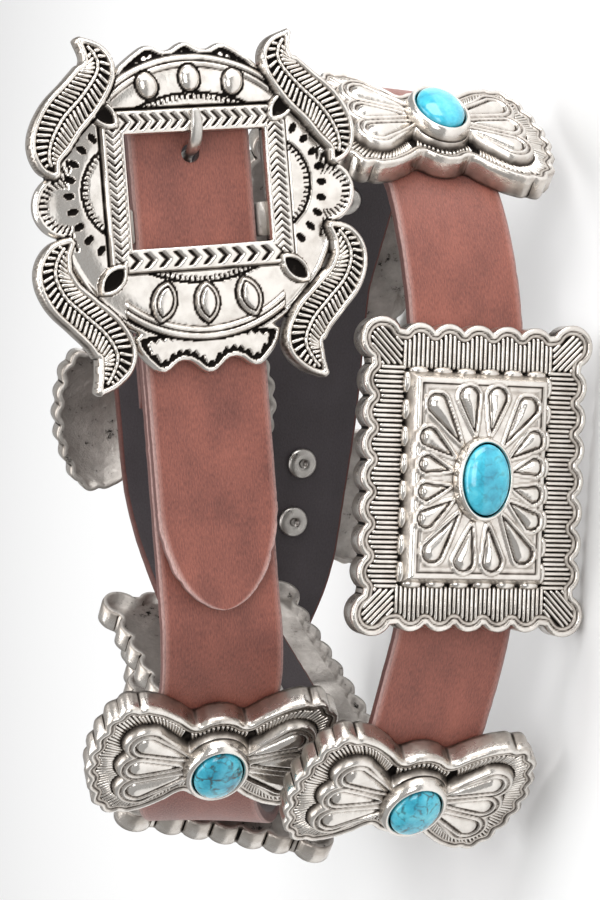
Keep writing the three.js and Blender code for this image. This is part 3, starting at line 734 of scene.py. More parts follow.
def ribsAlong(starts, ways, allowed, length, height, least=0.8):
    rows = []
    for start, way, span in zip(starts, ways, spanWithin(starts, ways, allowed, length)):
        if span is None or span[1] - span[0] < least:
            continue
        centre = start + way * (span[0] + span[1]) / 2
        rows.append((centre[0], centre[1], height, math.atan2(way[1], way[0]), span[1] - span[0]))
    return rows


# the strap: rounded sections set along its way, with the fold round the bar at its start
strapLook = {
    "corner": 0.8, "step": 2.0, "ragged": 0.13, "arris": 0.9, "barAlong": 2.0, "barDepth": 3.8,
    "foldSteps": 16,
    "holeRadius": 2.2, "holeCount": 5, "holePitch": 25.0, "holeAlong": -14.2, "slotHalf": 2.4,
    "slotReach": 8.0,
    "slotDepth": 11.6, "faceRows": 25, "backRows": 13, "seed": 11, "taper": 1.8,
}


# Points round a section: across, outwards, the way to its corner's point and the finish's slot.
def sectionProfile():
    upper, lower = (72, 54, 36, 18, 0), (0, -22, -45, -68)
    rows = [(share, 1.0, 0.0, 1.0, 0) for share in np.linspace(-1, 1, strapLook["faceRows"])]
    back = [(share, -1.0, 0.0, -1.0, 2) for share in np.linspace(1, -1, strapLook["backRows"])]
    for side in (1.0, -1.0):
        turned = []
        for angle in upper + lower:
            a = math.radians(angle)
            out = 1.0 if len(turned) < len(upper) else -1.0
            turned.append((side, out, side * math.cos(a), math.sin(a), 1))
        rows += turned + back if side > 0 else turned[::-1]
    return rows


def tipHalfWidth(distance):
    if distance >= strapSize["tip"]:
        return strapSize["width"] / 2
    narrowing = (1 - distance / strapSize["tip"]) ** strapLook["taper"]
    return max(0.8, strapSize["width"] / 2 * math.sqrt(1 - narrowing))


def strapStations():
    stations = []
    home = frameAtRow(rowNamed["buckle"], strapLook["barAlong"])
    half = strapSize["thickness"] / 2
    tailHalf = strapSize["tail"] / 2
    closed = half + tailHalf + gap
    depth = strapLook["barDepth"]
    full = strapSize["width"] / 2

    def turned(near, angle, point):
        outward = near["outward"] * math.cos(angle) - near["along"] * math.sin(angle)
        return {"point": point, "across": near["across"], "outward": outward}

    for offset in np.linspace(strapSize["tailLength"], strapSize["tailClosed"], 12):
        near = frameAtRow(rowNamed["buckle"], strapLook["barAlong"] + offset)
        stations.append((turned(near, math.pi, near["point"]), full, tailHalf, closed, 0))
    for share in (0.8, 0.6, 0.4, 0.2):
        near = frameAtRow(rowNamed["buckle"], strapLook["barAlong"] + strapSize["tailClosed"] * share)
        lift = closed + (2 * depth - closed) * (1 - share)
        stations.append((turned(near, math.pi, near["point"]), full, tailHalf, lift, 0))
    for step in range(strapLook["foldSteps"] + 1):
        share = step / strapLook["foldSteps"]
        near = turned(home, math.pi * (1 - share), home["point"] - home["outward"] * depth)
        stations.append((near, full, tailHalf + (half - tailHalf) * share, depth, 0))
    start = placeOf("buckle") + strapLook["barAlong"]
    end = placeOf("tip")
    places = list(np.arange(start + strapLook["step"], end - strapSize["tip"], strapLook["step"]))
    places += [end - strapSize["tip"] * (1 - step / 22) ** 1.7 for step in range(23)]
    for place in places:
        # Near the tip the edges are ragged, and the painted highlight along them grows stronger.
        tipWearAndHighlight = 0.75 * softStep(26, 14, end - place)
        stations.append((frameAt(place), tipHalfWidth(end - place), half, 0, tipWearAndHighlight))
    return stations


def strapMesh():
    stations = strapStations()
    profile = sectionProfile()
    random = np.random.default_rng(strapLook["seed"])
    points, uvs, wearAndHighlight = [], [], []
    travelled = 0.0
    before = None
    for near, halfWidth, halfThickness, lift, tipWearAndHighlight in stations:
        centre = near["point"] + near["outward"] * lift
        travelled += (centre - before).length if before is not None else 0.0
        before = centre
        corner = min(strapLook["corner"], halfWidth * 0.7, halfThickness * 0.7)
        ragged = random.normal(0, strapLook["ragged"], 2) * (1 if tipWearAndHighlight > 0 else 0.25)
        for across, out, cornerAcross, cornerOut, part in profile:
            sideways = across * (halfWidth - corner) + cornerAcross * corner
            if abs(across) == 1:
                sideways += np.sign(across) * ragged[0 if across < 0 else 1]
            raised = out * (halfThickness - corner) + cornerOut * corner
            points.append(near["point"] + near["across"] * sideways + near["outward"] * (raised + lift))
            uvs.append((travelled * mm, (sideways - raised) * mm))
            # A pale line along the rounded arris of the face: wear and a painted highlight, stronger near the
            # tip.
            inner, outer = halfWidth - corner - strapLook["arris"], halfWidth - corner * 0.4
            rim = softStep(inner, outer, abs(sideways)) if out > 0 else 0
            strong = (0.42 + 0.58 * tipWearAndHighlight) if across < 0 else (0.55 + 0.45 * tipWearAndHighlight)
            fade = 1.0 if cornerOut > 0.55 or part == 0 else 0.35 * tipWearAndHighlight
            wearAndHighlight.append(rim * strong * fade)
    slots = []
    for side, row in enumerate(profile):
        parts = (row[4], profile[(side + 1) % len(profile)][4])
        slots.append(parts[0] if parts[0] == parts[1] else 1)
    form = newForm()
    rings = len(stations)
    addTo(form, points, ringFaces(rings, len(profile)) + endFaces(rings, len(profile)), wearAndHighlight)
    form["slots"] = slots * (rings - 1) + [1, 1]
    mesh = meshOf("strapBelt", form, [leatherFace, leatherEdge, leatherBack], "wearAndHighlight")
    order = np.empty(len(mesh.loops), dtype=np.int32)
    mesh.loops.foreach_get("vertex_index", order)
    mesh.uv_layers.new(name="lay").data.foreach_set("uv", np.array(uvs)[order].ravel())
    return mesh


# An upright prism whose outline is two half circles joined, closed at both ends.
def stadiumCutter(name, radius, reach, bottom, top, near):
    sides = 28
    ring = []
    for side in range(sides):
        angle = 2 * math.pi * (side + 0.5) / sides
        y = radius * math.sin(angle) + math.copysign(reach, math.sin(angle))
        ring.append((radius * math.cos(angle), y))
    points = [(x, y, z) for z in (bottom, top) for x, y in ring]
    mesh = bpy.data.meshes.new(name)
    mesh.from_pydata(points, [], endFaces(2, sides) + ringFaces(2, sides))
    mesh.transform(Matrix.Scale(1 / mm, 4) @ seatOf(near, 0))
    mesh.materials.append(leatherEdge)
    return linked(name, mesh)


def cutAway(mesh, cutters):
    body = linked("cutBody", mesh)
    for cutter in cutters:
        modifier = body.modifiers.new(cutter.name, "BOOLEAN")
        modifier.operation = "DIFFERENCE"
        modifier.solver = "EXACT"
        modifier.object = cutter
        modifier.material_mode = "TRANSFER"
    made = bpy.data.meshes.new_from_object(body.evaluated_get(bpy.context.evaluated_depsgraph_get()))
    for spare in [body, *cutters]:
        bpy.data.objects.remove(spare)
    return made


def makeStrap():
    look = strapLook
    cutters = []
    for hole in range(look["holeCount"]):
        near = frameAt(placeOf("free_end") + look["holeAlong"] - (hole - 1) * look["holePitch"])
        cutters.append(stadiumCutter(f"holeCutter{hole}", look["holeRadius"], 0.01, -1.64, 2.5, near))
    home = frameAtRow(rowNamed["buckle"], look["barAlong"])
    reach = look["slotReach"] - look["slotHalf"]
    cutters.append(stadiumCutter("slotCutter", look["slotHalf"], reach, -look["slotDepth"], 2.2, home))
    mesh = cutAway(strapMesh(), cutters)
    mesh.name = "strapBelt"
    newPiece("strapBelt", mesh, "strap", Matrix.Scale(mm, 4))


makeStrap()
print("strap made")


# the oblong conchos: a scalloped skirt, a raised panel with petals, and a rim that holds the stone
rectLook = {
    "across": 58.5, "along": 74.0, "margin": 2.0, "corner": 8.4, "scallops": (5, 7), "depth": 1.9,
    "roundness": 0.7, "lobeInset": 2.3, "lobeRadius": 5.3, "lobeTurn": 1.85, "panelAcross": 18.5,
    "panelAlong": 25.5, "dome": 1.0, "wall": 1.5, "ceiling": 2.4, "floor": 5.7, "step": 0.35,
    "ribPitch": 1.13, "ribBreadth": 1.0, "ribRise": 0.85, "ribInset": 2.3,
    "petalFoot": (8.0, 11.0), "petalStart": 0.5, "petalBorder": 0.55,
    "petals": [(3.7, 19.6, 3.3), (11.8, 17.6, 3.4), (13.7, 9.7, 3.05), (13.9, 3.3, 2.85)],  # x, y, radius
    "stone": (5.75, 8.5), "rim": 1.5, "rimTop": 13.9, "stoneFoot": 12.0, "posts": 22.0,
}
# tables of places, from an edge inwards, and of the height or darkness there
skirtHeight = ([0, .35, .7, 1.15, 1.45, 1.8, 2.2, 2.6], [6.0, 6.4, 6.5, 6.4, 5.85, 6.2, 6.1, 5.65])
skirtRecess = ([0, .3, 1.1, 1.45, 1.8, 2.2, 2.6], [.25, 0, .05, .9, .2, .3, .95])
panelHeight = ([-.3, 0, .5, 1.6, 2, 2.6, 3, 3.4, 3.8, 4.4],
               [5.7, 5.9, 7.2, 9.6, 9.9, 9.9, 9.55, 9.95, 9.95, 9.65])
panelRecess = ([-.3, 0, .5, 1.4, 1.8, 2.6, 2.95, 3.4, 3.9, 4.3, 5.5],
               [.95, .9, .35, .1, 0, .05, .95, .1, .1, .35, .06])


def rectOutline():
    look = rectLook
    half = np.array([look["across"], look["along"]]) / 2 - look["depth"]
    corners = np.array([(1, -1), (1, 1), (-1, 1), (-1, -1)])
    outline = []
    for corner, following in zip(corners, np.roll(corners, -1, axis=0)):
        way = (following - corner) / 2.0
        start = corner * half + way * look["corner"]
        end = following * half - way * look["corner"]
        count = look["scallops"][0 if way[0] != 0 else 1]
        out = np.array([way[1], -way[0]])
        for lobe in range(count):
            for step in range(10):
                bulge = math.sin(step / 10 * math.pi) ** look["roundness"] * look["depth"]
                outline.append(start + (end - start) * (lobe + step / 10) / count + out * bulge)
        outline.append(end)
        lobe = following * (half - look["lobeInset"])
        for share in np.linspace(-look["lobeTurn"], look["lobeTurn"], 19):
            angle = math.atan2(following[1], following[0]) + share
            outline.append(lobe + look["lobeRadius"] * np.array([math.cos(angle), math.sin(angle)]))
    return np.array(outline)


def petalSides(along):
    return [(sideX, sideY) for sideX in (-1, 1) for sideY in ((-1, 1) if along > 0 else (1,))]


# Raised borders, dark channels and raised drops of the petals round the stone.
def petalRelief(x, y, height, recess, look):
    inner, border = look["petalFoot"], look["petalBorder"]
    rises = ([-0.35, 0] + [border + far for far in (0, 0.2, 0.45, 0.8, 2.0)],
             [0, 0.5, 0.55, -0.3, -0.35, 0.4, 1.15])
    darks = ([-0.5, -0.25, 0] + [border + far for far in (0, 0.15, 0.4, 0.6, 0.9)],
             [0.35, 0.45, 0, 0.05, 0.85, 0.9, 0.2, 0])
    for across, along, radius in look["petals"]:
        for sideX, sideY in petalSides(along):
            tip = np.array([across * sideX, along * sideY])
            angle = math.atan2(tip[1] / inner[1], tip[0] / inner[0])
            start = (inner[0] * math.cos(angle), inner[1] * math.sin(angle))
            deep = dropDepth(x, y, start, tip, look["petalStart"], radius)
            height = np.where(deep > -0.35, height + readFrom(rises, deep), height)
            recess = np.where(deep > -0.5, readFrom(darks, deep), recess)
    return height, recess


def panelDepth(x, y):
    return np.minimum(rectLook["panelAcross"] - np.abs(x), rectLook["panelAlong"] - np.abs(y))


def rectHeights(distance):
    def heightOf(x, y):
        look = rectLook
        deep = distance(x, y)
        inner = panelDepth(x, y)
        bulge = 1 - np.clip((x / look["panelAcross"]) ** 2 + (y / look["panelAlong"]) ** 2, 0, 1)
        panel = readFrom(panelHeight, inner) + look["dome"] * bulge * softStep(1.6, 5, inner)
        height = np.where(inner > -0.3, panel, readFrom(skirtHeight, deep))
        recess = np.where(inner > -0.3, readFrom(panelRecess, inner), readFrom(skirtRecess, deep))
        return petalRelief(x, y, height, recess, look)
    return heightOf


# Ribs square to each side of the panel, and slanting ones in the corner lobes.
def rectRibs(distance):
    look = rectLook
    panel = (look["panelAcross"], look["panelAlong"])
    half = (look["across"] / 2, look["along"] / 2)
    pitch = look["ribPitch"]
    foot = look["floor"] - 0.1

    def free(x, y):
        return (distance(x, y) > look["ribInset"]) & (panelDepth(x, y) < -0.25)

    def besideCorner(x, y):
        return free(x, y) & (np.minimum(np.abs(x) - panel[0], np.abs(y) - panel[1]) < 0.7)

    def inCorner(x, y):
        return free(x, y) & (np.abs(x) > panel[0] + 1.1) & (np.abs(y) > panel[1] + 1.1)

    rows = []
    for side in (-1, 1):
        for axis in (0, 1):
            span = panel[1 - axis] + 0.6
            places = np.linspace(-span, span, round(2 * span / pitch))
            starts = np.full((len(places), 2), side * panel[axis])
            starts[:, 1 - axis] = places
            ways = np.zeros((len(places), 2))
            ways[:, axis] = side
            rows += ribsAlong(starts, ways, besideCorner, half[axis] - panel[axis] + 1, foot)
        for other in (-1, 1):
            corner = np.array([side * panel[0], other * panel[1]])
            way = np.array([side, other]) / math.sqrt(2)
            offsets = np.arange(-6 * pitch, 6.1 * pitch, pitch)
            starts = corner + offsets[:, None] * np.array([-way[1], way[0]])
            rows += ribsAlong(starts - way * 2, np.tile(way, (len(offsets), 1)), inCorner, 19, foot)
    return rows


# Low half-round bosses at the foot of the panel's wall.
def rectBosses():
    rows = []
    for side in (-1, 1):
        for along in np.linspace(-22.6, 22.6, 8):
            rows.append((side * (rectLook["panelAcross"] - 0.1), along, 5.6, math.pi / 2, 5.5))
        for across in np.linspace(-15.4, 15.4, 6):
            rows.append((across, side * (rectLook["panelAlong"] - 0.1), 5.6, 0.0, 5.3))
    return rows


bezelRows = [  # share of the rim's width, height against its top, darkness
    (1.0, -3.6, .8), (0.97, -2.9, .35), (0.86, -1.6, .05), (0.72, -0.5, 0), (0.5, -0.02, 0), (0.28, 0.04, 0),
    (0.06, -0.22, .3), (0.0, -0.7, .95), (0.0, -2.6, 1),
]


# The stone's rim: a closed ring that leans in, with a floor for the stone.
def addBezel(form, look):
    width, top = look["rim"], look["rimTop"]
    rows = [(width, 0.02, top - 3.6, 1.0)]
    rows += [(width * share, 1.0, top + drop, dark) for share, drop, dark in bezelRows]
    addOvalSweep(form, look["stone"][0] + gap, look["stone"][1] + gap, rows, 72)


def makeConcho(look, outline, heights, ribs, bosses=()):
    distance = distanceTo(outline)
    wall = look["wall"]
    walls = [(0.0, 4.6, .1), (0.0, 1.0, .35), (0.3, 0.0, .5), (wall, 0.0, .6), (wall, look["ceiling"], .6)]
    reachX, reachY = look["across"] / 2 + look["margin"], look["along"] / 2 + look["margin"]
    form = newForm()
    addCasting(form, distance, heights(distance), (-reachX, reachX, -reachY, reachY), look["step"], walls)
    addStamps(form, ribStamp, ribs(distance), look["ribBreadth"], look["ribRise"])
    if bosses:
        addStamps(form, domeStamp, bosses, 2.6, 2.3, 0.05, 5)
    addBezel(form, look)
    return form


# A polished oval dome, with an attribute that says how strongly it is veined.
def stoneForm(look, veined):
    foot = look["stoneFoot"]
    sides = ((0.02, 0), (0.97, 0), (1.0, 0.3), (1.0, 1.6))
    rows = [(0.0, scale, foot + lift, veined) for scale, lift in sides]
    for angle in np.arange(1, 12) / 12 * math.pi / 2:
        rows.append((0.0, math.cos(angle), foot + 1.6 + 3.0 * math.sin(angle), veined))
    rows.append((0.0, 0.03, foot + 4.6, veined))
    form = newForm()
    addOvalSweep(form, look["stone"][0], look["stone"][1], rows, 64)
    return form


# the bow-tie conchos
butterflyLook = {
    "across": 63.0, "along": 40.0, "margin": 2.5, "lobes": 32, "scallop": 1.15, "scallopInset": 0.55,
    "wall": 1.5, "ceiling": 2.4, "floor": 5.7, "step": 0.32, "ribPitch": 1.2544, "ribBreadth": 0.9,
    "ribRise": 0.85, "ribInset": 2.2, "wingFoot": (8.5, 2.6), "wingBorder": 2.3,
    "petalFoot": (9.0, 4.6), "petalStart": 0.9, "petalBorder": 0.6,
    "petals": [(18.4, 8.2, 3.7), (19.3, 0.0, 3.4)], "collar": (3.4, 2.4),
    "stone": (6.0, 8.0), "rim": 2.0, "rimTop": 11.7, "stoneFoot": 9.8, "posts": 17.0,
}
wingRows = [  # a quarter of the outline
    (0, 14.6), (3.4, 13.8), (6.5, 12.2), (10.5, 15.4), (16, 18.7), (22, 19.5), (26.4, 17.3), (28.9, 12.3),
    (30.75, 5), (31.15, 0),
]
tableHeight = ([-.2, 0, .5, 1.0, 1.4, 1.9, 30], [5.7, 6.2, 8.1, 8.55, 8.5, 8.15, 8.35])
tableRecess = ([-.2, 0, .4, .9, 1.3, 1.7, 2.1, 30], [.95, .8, .2, 0, .1, .85, .4, .35])


# Points of the smooth curve between the middle two of four points, at shares of the way.
def curveBetween(four, shares):
    a, b, c, d = four
    second, third = 2 * a - 5 * b + 4 * c - d, 3 * b - a - 3 * c + d
    return [0.5 * (2 * b + (c - a) * t + second * t * t + third * t ** 3) for t in shares]


# The quarter's rows are mirrored and smoothed, and the wings' ends are scalloped.
def butterflyOutline():
    look = butterflyLook
    rows = np.array(wingRows, float)
    whole = np.concatenate([rows, rows[-2::-1] * [1, -1], rows[1:] * [-1, -1], rows[-2:0:-1] * [-1, 1]])
    smooth = []
    for index in range(len(whole)):
        four = [whole[(index + k) % len(whole)] for k in (-1, 0, 1, 2)]
        smooth += curveBetween(four, np.arange(0, 1, 0.1))
    smooth = np.array(smooth)
    way = np.roll(smooth, -1, axis=0) - np.roll(smooth, 1, axis=0)
    out = np.stack([-way[:, 1], way[:, 0]], 1) / (np.linalg.norm(way, axis=1)[:, None] + 1e-9)
    far = lengthsAlong(smooth)
    phase = far / (far[-1] + np.linalg.norm(smooth[0] - smooth[-1])) * look["lobes"]
    wing = softStep(17, 22, np.abs(smooth[:, 0]))
    bulge = np.abs(np.sin(phase * math.pi)) * look["scallop"] - look["scallopInset"]
    return smooth + out * (bulge * wing)[:, None]


# How far inside the raised table a point is: the wings' petals and the collar round the stone.
def tableDepth(x, y):
    look = butterflyLook
    deep = np.full(x.shape, -9.0)
    for across, along, radius in look["petals"]:
        for sideX, sideY in petalSides(along):
            start = (look["wingFoot"][0] * sideX, look["wingFoot"][1] * sideY if along > 0 else 0.0)
            tip = (across * sideX, along * sideY)
            deep = np.maximum(deep, dropDepth(x, y, start, tip, look["petalStart"], radius))
    reach = (look["stone"][0] + look["collar"][0], look["stone"][1] + look["collar"][1])
    collar = (1 - np.hypot(x / reach[0], y / reach[1])) * (look["stone"][0] + 3)
    return np.maximum(deep + look["wingBorder"], collar)


def butterflyHeights(distance):
    def heightOf(x, y):
        deep = distance(x, y)
        raised = tableDepth(x, y)
        height = np.where(raised > -0.2, readFrom(tableHeight, raised), readFrom(skirtHeight, deep))
        recess = np.where(raised > -0.2, readFrom(tableRecess, raised), readFrom(skirtRecess, deep))
        return petalRelief(x, y, height, recess, butterflyLook)
    return heightOf


# Ribs from the outline towards the middles of the wings.
def butterflyRibs(distance):
    def free(x, y):
        return (distance(x, y) > butterflyLook["ribInset"]) & (tableDepth(x, y) < -0.1)

    loop = np.concatenate([bowTie, bowTie[:1]])
    far = lengthsAlong(loop)
    spots = spotsAt(np.arange(0, far[-1], butterflyLook["ribPitch"]), far, loop)
    x, y = spots[:, 0], spots[:, 1]
    ways = np.stack([np.where(np.abs(x) > 8, np.sign(x) * 12.0, x * 0.7), y * 0.12], 1) - spots
    ways /= np.linalg.norm(ways, axis=1)[:, None]
    return ribsAlong(spots, ways, free, 13, butterflyLook["floor"] - 0.1, 0.9)


bowTie = butterflyOutline()
conchoLooks = {"rect": rectLook, "butterfly": butterflyLook}
conchoForms = {
    "rect": makeConcho(rectLook, rectOutline(), rectHeights, rectRibs, rectBosses()),
    "butterfly": makeConcho(butterflyLook, bowTie, butterflyHeights, butterflyRibs),
}
veinedStones = {
    "butterfly_1": 1.0, "butterfly_3": 0.9, "rect_3": 0.35, "rect_1": 0.5, "rect_2": 0.3, "butterfly_2": 0.06,
}
for kind, form in conchoForms.items():
    print(kind, "concho form:", len(form["faces"]), "faces")


# round screw heads on the strap's inner face
screwLook = {"radius": 4.3, "foot": -3.6, "height": 1.4}


def screwForm():
    low, high = screwLook["foot"], screwLook["foot"] - screwLook["height"]
    rows = [
        (0.02, low, .5), (1.0, low, .4), (1.0, low - 0.5, .3), (0.985, low - 0.85, .05),
        (0.93, high + 0.2, 0), (0.84, high, 0), (0.55, high - 0.06, .1), (0.34, high - 0.06, .35),
        (0.28, high + 0.12, .7),
        (0.24, high + 0.55, 1.0), (0.02, high + 0.7, 1.0),
    ]
    form = newForm()
    addOvalSweep(form, screwLook["radius"], screwLook["radius"], [(0.0, *row) for row in rows], 40)
    return form


screw = screwForm()


def placeConchos():
    for row in route:
        name = row["name"]
        kind = name.rsplit("_", 1)[0]
        if kind not in conchoForms:
            continue
        look = conchoLooks[kind]
        seat = seatOf(frameAtRow(row), strapSize["thickness"] / 2 + gap)
        finishes = [silver, silverBack]
        newCasting(f"casting_{name}", conchoForms[kind], finishes, f"concho_{name}", seat)
        stone = stoneForm(look, veinedStones.get(name, 0.5))
        newCasting(f"cabochon_{name}", stone, [turquoise], f"stone_{name}", seat, "vein")
        for side, letter in ((-1, "a"), (1, "b")):
            place = seat @ Matrix.Translation((0, side * look["posts"] / 2, 0))
            head = f"{name}_{letter}"
            newCasting(f"screwhead_{head}", screw, [nickel], f"screw_{head}", place)


placeConchos()
print("conchos, stones and screws placed")

# the cast buckle: its plan is a round body with lobes, crowns and feathers, and a square window
buckleLook = {
    "middle": -3.5, "radius": 34.8, "lobeOut": 32.0, "lobeRadius": 7.6, "half": 17.15, "top": -19.2,
    "bottom": 7.4, "band": 5.4, "step": 0.33, "bendStart": 26.0, "bendRadius": 52.0, "ringCentre": -4.0,
    "ringRadius": 33.0,
    "ribPitch": 1.3, "ribBreadth": 1.02, "ribRise": 1.15,
}
lugLook = {
    "out": 17.4, "along": 2.0, "halfAcross": 1.8, "halfAlong": 4.0, "bottom": -12.4, "top": 1.0,
    "corner": 0.7,
}
strokeLook = {"pitch": 1.25, "reach": 1.5, "lineHalf": 0.36, "share": 0.42}
dotLook = {"centre": (14.8, -5.8), "radius": 16.2, "spread": 53, "gaps": 8, "half": (1.2, 0.75), "depth": 0.55}
crownRows = {
    "top": [(0, -41), (4.6, -38), (9.2, -40.4), (13.8, -37.4), (17.5, -34.5), (19.5, -29)],
    "bottom": [(0, 38.5), (6, 33), (11.8, 37.6), (17.5, 31.5), (18.5, 26)],
}
featherRows = {
    "top": [(26, -42, 1.2), (22.6, -38, 6.5), (22.4, -34, 9), (26.5, -28.5, 10.6), (31.5, -23.5, 11),
            (34.8, -18, 10), (35.4, -13.5, 6.5), (33.6, -10, 1.6)],
    "bottom": [(31.2, 4.2, 1.6), (34.8, 7.4, 6.5), (36.3, 12, 8.8), (34.4, 17.2, 9.6), (30, 21.8, 10),
               (25.4, 26.6, 10.4), (23.2, 31.6, 10), (25, 36.2, 6.8), (28.2, 40.2, 1.4)],
}
bossRows = [  # x, y, half across, half along, lean in degrees, whether it has a ring groove
    (10.5, -30.3, 2.5, 3.1, 18, False), (0.0, -31.6, 2.5, 3.1, 0, False),
    (10.5, 20.0, 3.0, 4.9, -16, True), (0.0, 20.6, 3.0, 4.9, 0, True),
]
eyeRows = [((21.9, -24.2), -45), ((22.4, 14.2), 45)]  # the leaf shapes, and how they lean
# tables of places in a form, from its edge inwards, and of the height, depth or darkness there
edgeHeight = ([0, 0.3, 0.8, 1.3, 1.7], [-0.5, 0.25, 0.55, 0.45, 0.0])
ringHeight = ([-2.7, -2.3, -1.6, -1.25, -0.9, -0.2, 0.3, 0.6], [3.2, 3.9, 3.95, 3.1, 3.95, 3.9, 3.3, 2.7])
ringRecess = ([-3, -2.8, -2.4, -1.6, -1.35, -1.15, -0.9, 0.1, 0.4], [.1, .9, .05, 0, .95, .95, 0, .05, 1])
bandHeight = ([0, 0.3, 0.8, 1.0, 4.4, 4.7, 5.1, 5.4], [4.2, 4.55, 4.5, 4.1, 4.1, 4.5, 4.45, 3.9])
bandRecess = ([0, .8, .95, 4.4, 4.7, 5.2, 5.4], [0, 0, .7, .7, 0, 0, .6])
domeHeight = ([0, .25, .8, 1.6, 2.7], [0.2, 0.9, 1.45, 1.8, 1.9])
domeRecess = ([-.55, -.5, 0, .2], [0, .95, .95, 0])
grooveDepth = ([.75, .95, 1.2, 1.4], [0, 0.6, 0.6, 0])
grooveRecess = ([.7, .9, 1.2, 1.4], [0, 1, 1, 0])
eyeHeight = ([0, .3, .8, 1.15, 1.5], [4.4, 5.1, 5.2, 4.2, 4.0])
eyeRecess = ([-.3, 0, .2, .85, 1.1], [.9, .5, 0, 0, 1])
featherHeight = ([0, .3, .8, 1.25, 1.55], [4.7, 5.35, 5.6, 5.35, 4.5])
featherRecess = ([-.6, -.1, .15, 1.2, 1.5], [.95, .9, .02, .02, .98])
chevronRows = {"left": (1.6, 1), "right": (1.6, -1), "top": (2.5, -1), "bottom": (3.6, -1)}


# A smooth curve through rows of numbers, each gap cut into the same count of steps.
def smoothRows(rows, steps):
    rows = np.array(rows, float)
    padded = np.concatenate([[2 * rows[0] - rows[1]], rows, [2 * rows[-1] - rows[-2]]])
    made = []
    for index in range(1, len(rows)):
        made += curveBetween(padded[index - 1:index + 3], np.arange(steps) / steps)
    return np.array(made + [rows[-1]])


# Half an outline is mirrored, and its corners are cut off twice.
def crownOutline(rows):
    outline = np.array([(-x, y) for x, y in rows[:0:-1]] + rows, float)
    for _ in range(2):
        following = np.roll(outline, -1, axis=0)
        pair = [outline * 0.78 + following * 0.22, outline * 0.22 + following * 0.78]
        outline = np.stack(pair, 1).reshape(-1, 2)
    return outline


def featherOutline(spine):
    way = np.gradient(spine[:, :2], axis=0)
    way /= np.linalg.norm(way, axis=1)[:, None]
    side = np.stack([way[:, 1], -way[:, 0]], 1) * spine[:, 2:3] / 2
    return np.concatenate([spine[:, :2] + side, (spine[:, :2] - side)[::-1]])


featherSpines = {name: smoothRows(rows, 6) for name, rows in featherRows.items()}
featherDepths = {name: distanceTo(featherOutline(spine)) for name, spine in featherSpines.items()}
crownDepths = [distanceTo(crownOutline(rows)) for rows in crownRows.values()]


def featherDepth(x, y):
    return np.maximum(*(measure(np.abs(x), y) for measure in featherDepths.values()))


def windowGap(x, y):
    past = np.maximum(buckleLook["top"] - y, y - buckleLook["bottom"])
    return np.maximum(np.abs(x) - buckleLook["half"], past)


def buckleDistance(x, y):
    look = buckleLook
    deep = look["radius"] - np.hypot(x, y - look["middle"])
    deep = np.maximum(deep, look["lobeRadius"] - np.hypot(np.abs(x) - look["lobeOut"], y - look["middle"]))
    for measure in crownDepths:
        deep = np.maximum(deep, measure(x, y))
    deep = np.maximum(deep, featherDepth(x, y))
    return np.minimum(deep, windowGap(x, y))


def sawOf(phase):
    return phase - np.floor(phase)


# Cuts a dark pattern into the surface.
def cutInto(height, recess, pattern, depth=0.35):
    return np.where(pattern, height - depth, height), np.where(pattern, 1.0, recess)


# A line along an arc, with short strokes on its inner side.
def strokedArc(x, y, centre, radius):
    far = np.hypot(x - centre[0], y - centre[1])
    angle = np.arctan2(y - centre[1], x - centre[0])
    inside = (far < radius) & (far > radius - strokeLook["reach"])
    strokes = inside & (sawOf(angle * radius / strokeLook["pitch"]) < strokeLook["share"])
    return strokes | (np.abs(far - radius) < strokeLook["lineHalf"])


# Distances from a centre, along and across a direction that leans by some degrees.
def turnedPlace(x, y, centre, lean):
    c, s = math.cos(math.radians(lean)), math.sin(math.radians(lean))
    dx, dy = x - centre[0], y - centre[1]
    return dx * c + dy * s, -dx * s + dy * c


def ovalDepth(x, y, centre, across, along, lean):
    u, v = turnedPlace(x, y, centre, lean)
    return (1 - np.hypot(u / across, v / along)) * min(across, along)


# How deep a place lies inside two crossing arcs, a leaf shape that is pointed at both ends.
def almondDepth(x, y, centre, along, across, lean):
    u, v = turnedPlace(x, y, centre, lean)
    radius = (along ** 2 + across ** 2) / (2 * across)
    return radius - np.hypot(u, np.abs(v) + radius - across)


# The raised band round the window, with slanting ridges between two rims.
def chevronBand(x, y, height, recess):
    look = buckleLook
    gapTo = windowGap(x, y)
    sides = np.abs(x) - look["half"] > np.maximum(look["top"] - y, y - look["bottom"])
    off = np.abs(gapTo - look["band"] / 2) * 0.95
    phase = np.zeros(x.shape)
    for name, place, along in (("left", sides & (x > 0), y), ("right", sides & (x < 0), y),
                               ("top", ~sides & (y < 0), x), ("bottom", ~sides & (y > 0), x)):
        pitch, way = chevronRows[name]
        phase = np.where(place, (way * along + off) / pitch, phase)
    ridge = np.abs(sawOf(phase) - 0.5) * 2
    band = gapTo < look["band"]
    field = band & (gapTo > 0.95) & (gapTo < look["band"] - 0.95)
    height = np.where(band, readFrom(bandHeight, gapTo), height)
    recess = np.where(band, readFrom(bandRecess, gapTo), recess)
    height = np.where(field, 3.85 + 0.75 * softStep(0.1, 0.6, ridge), height)
    recess = np.where(field, 1 - softStep(0.18, 0.42, ridge), recess)
    outside = (gapTo >= look["band"]) & (gapTo < look["band"] + 0.6)
    return np.where(outside, 2.7, height), np.where(outside, 0.97, recess)


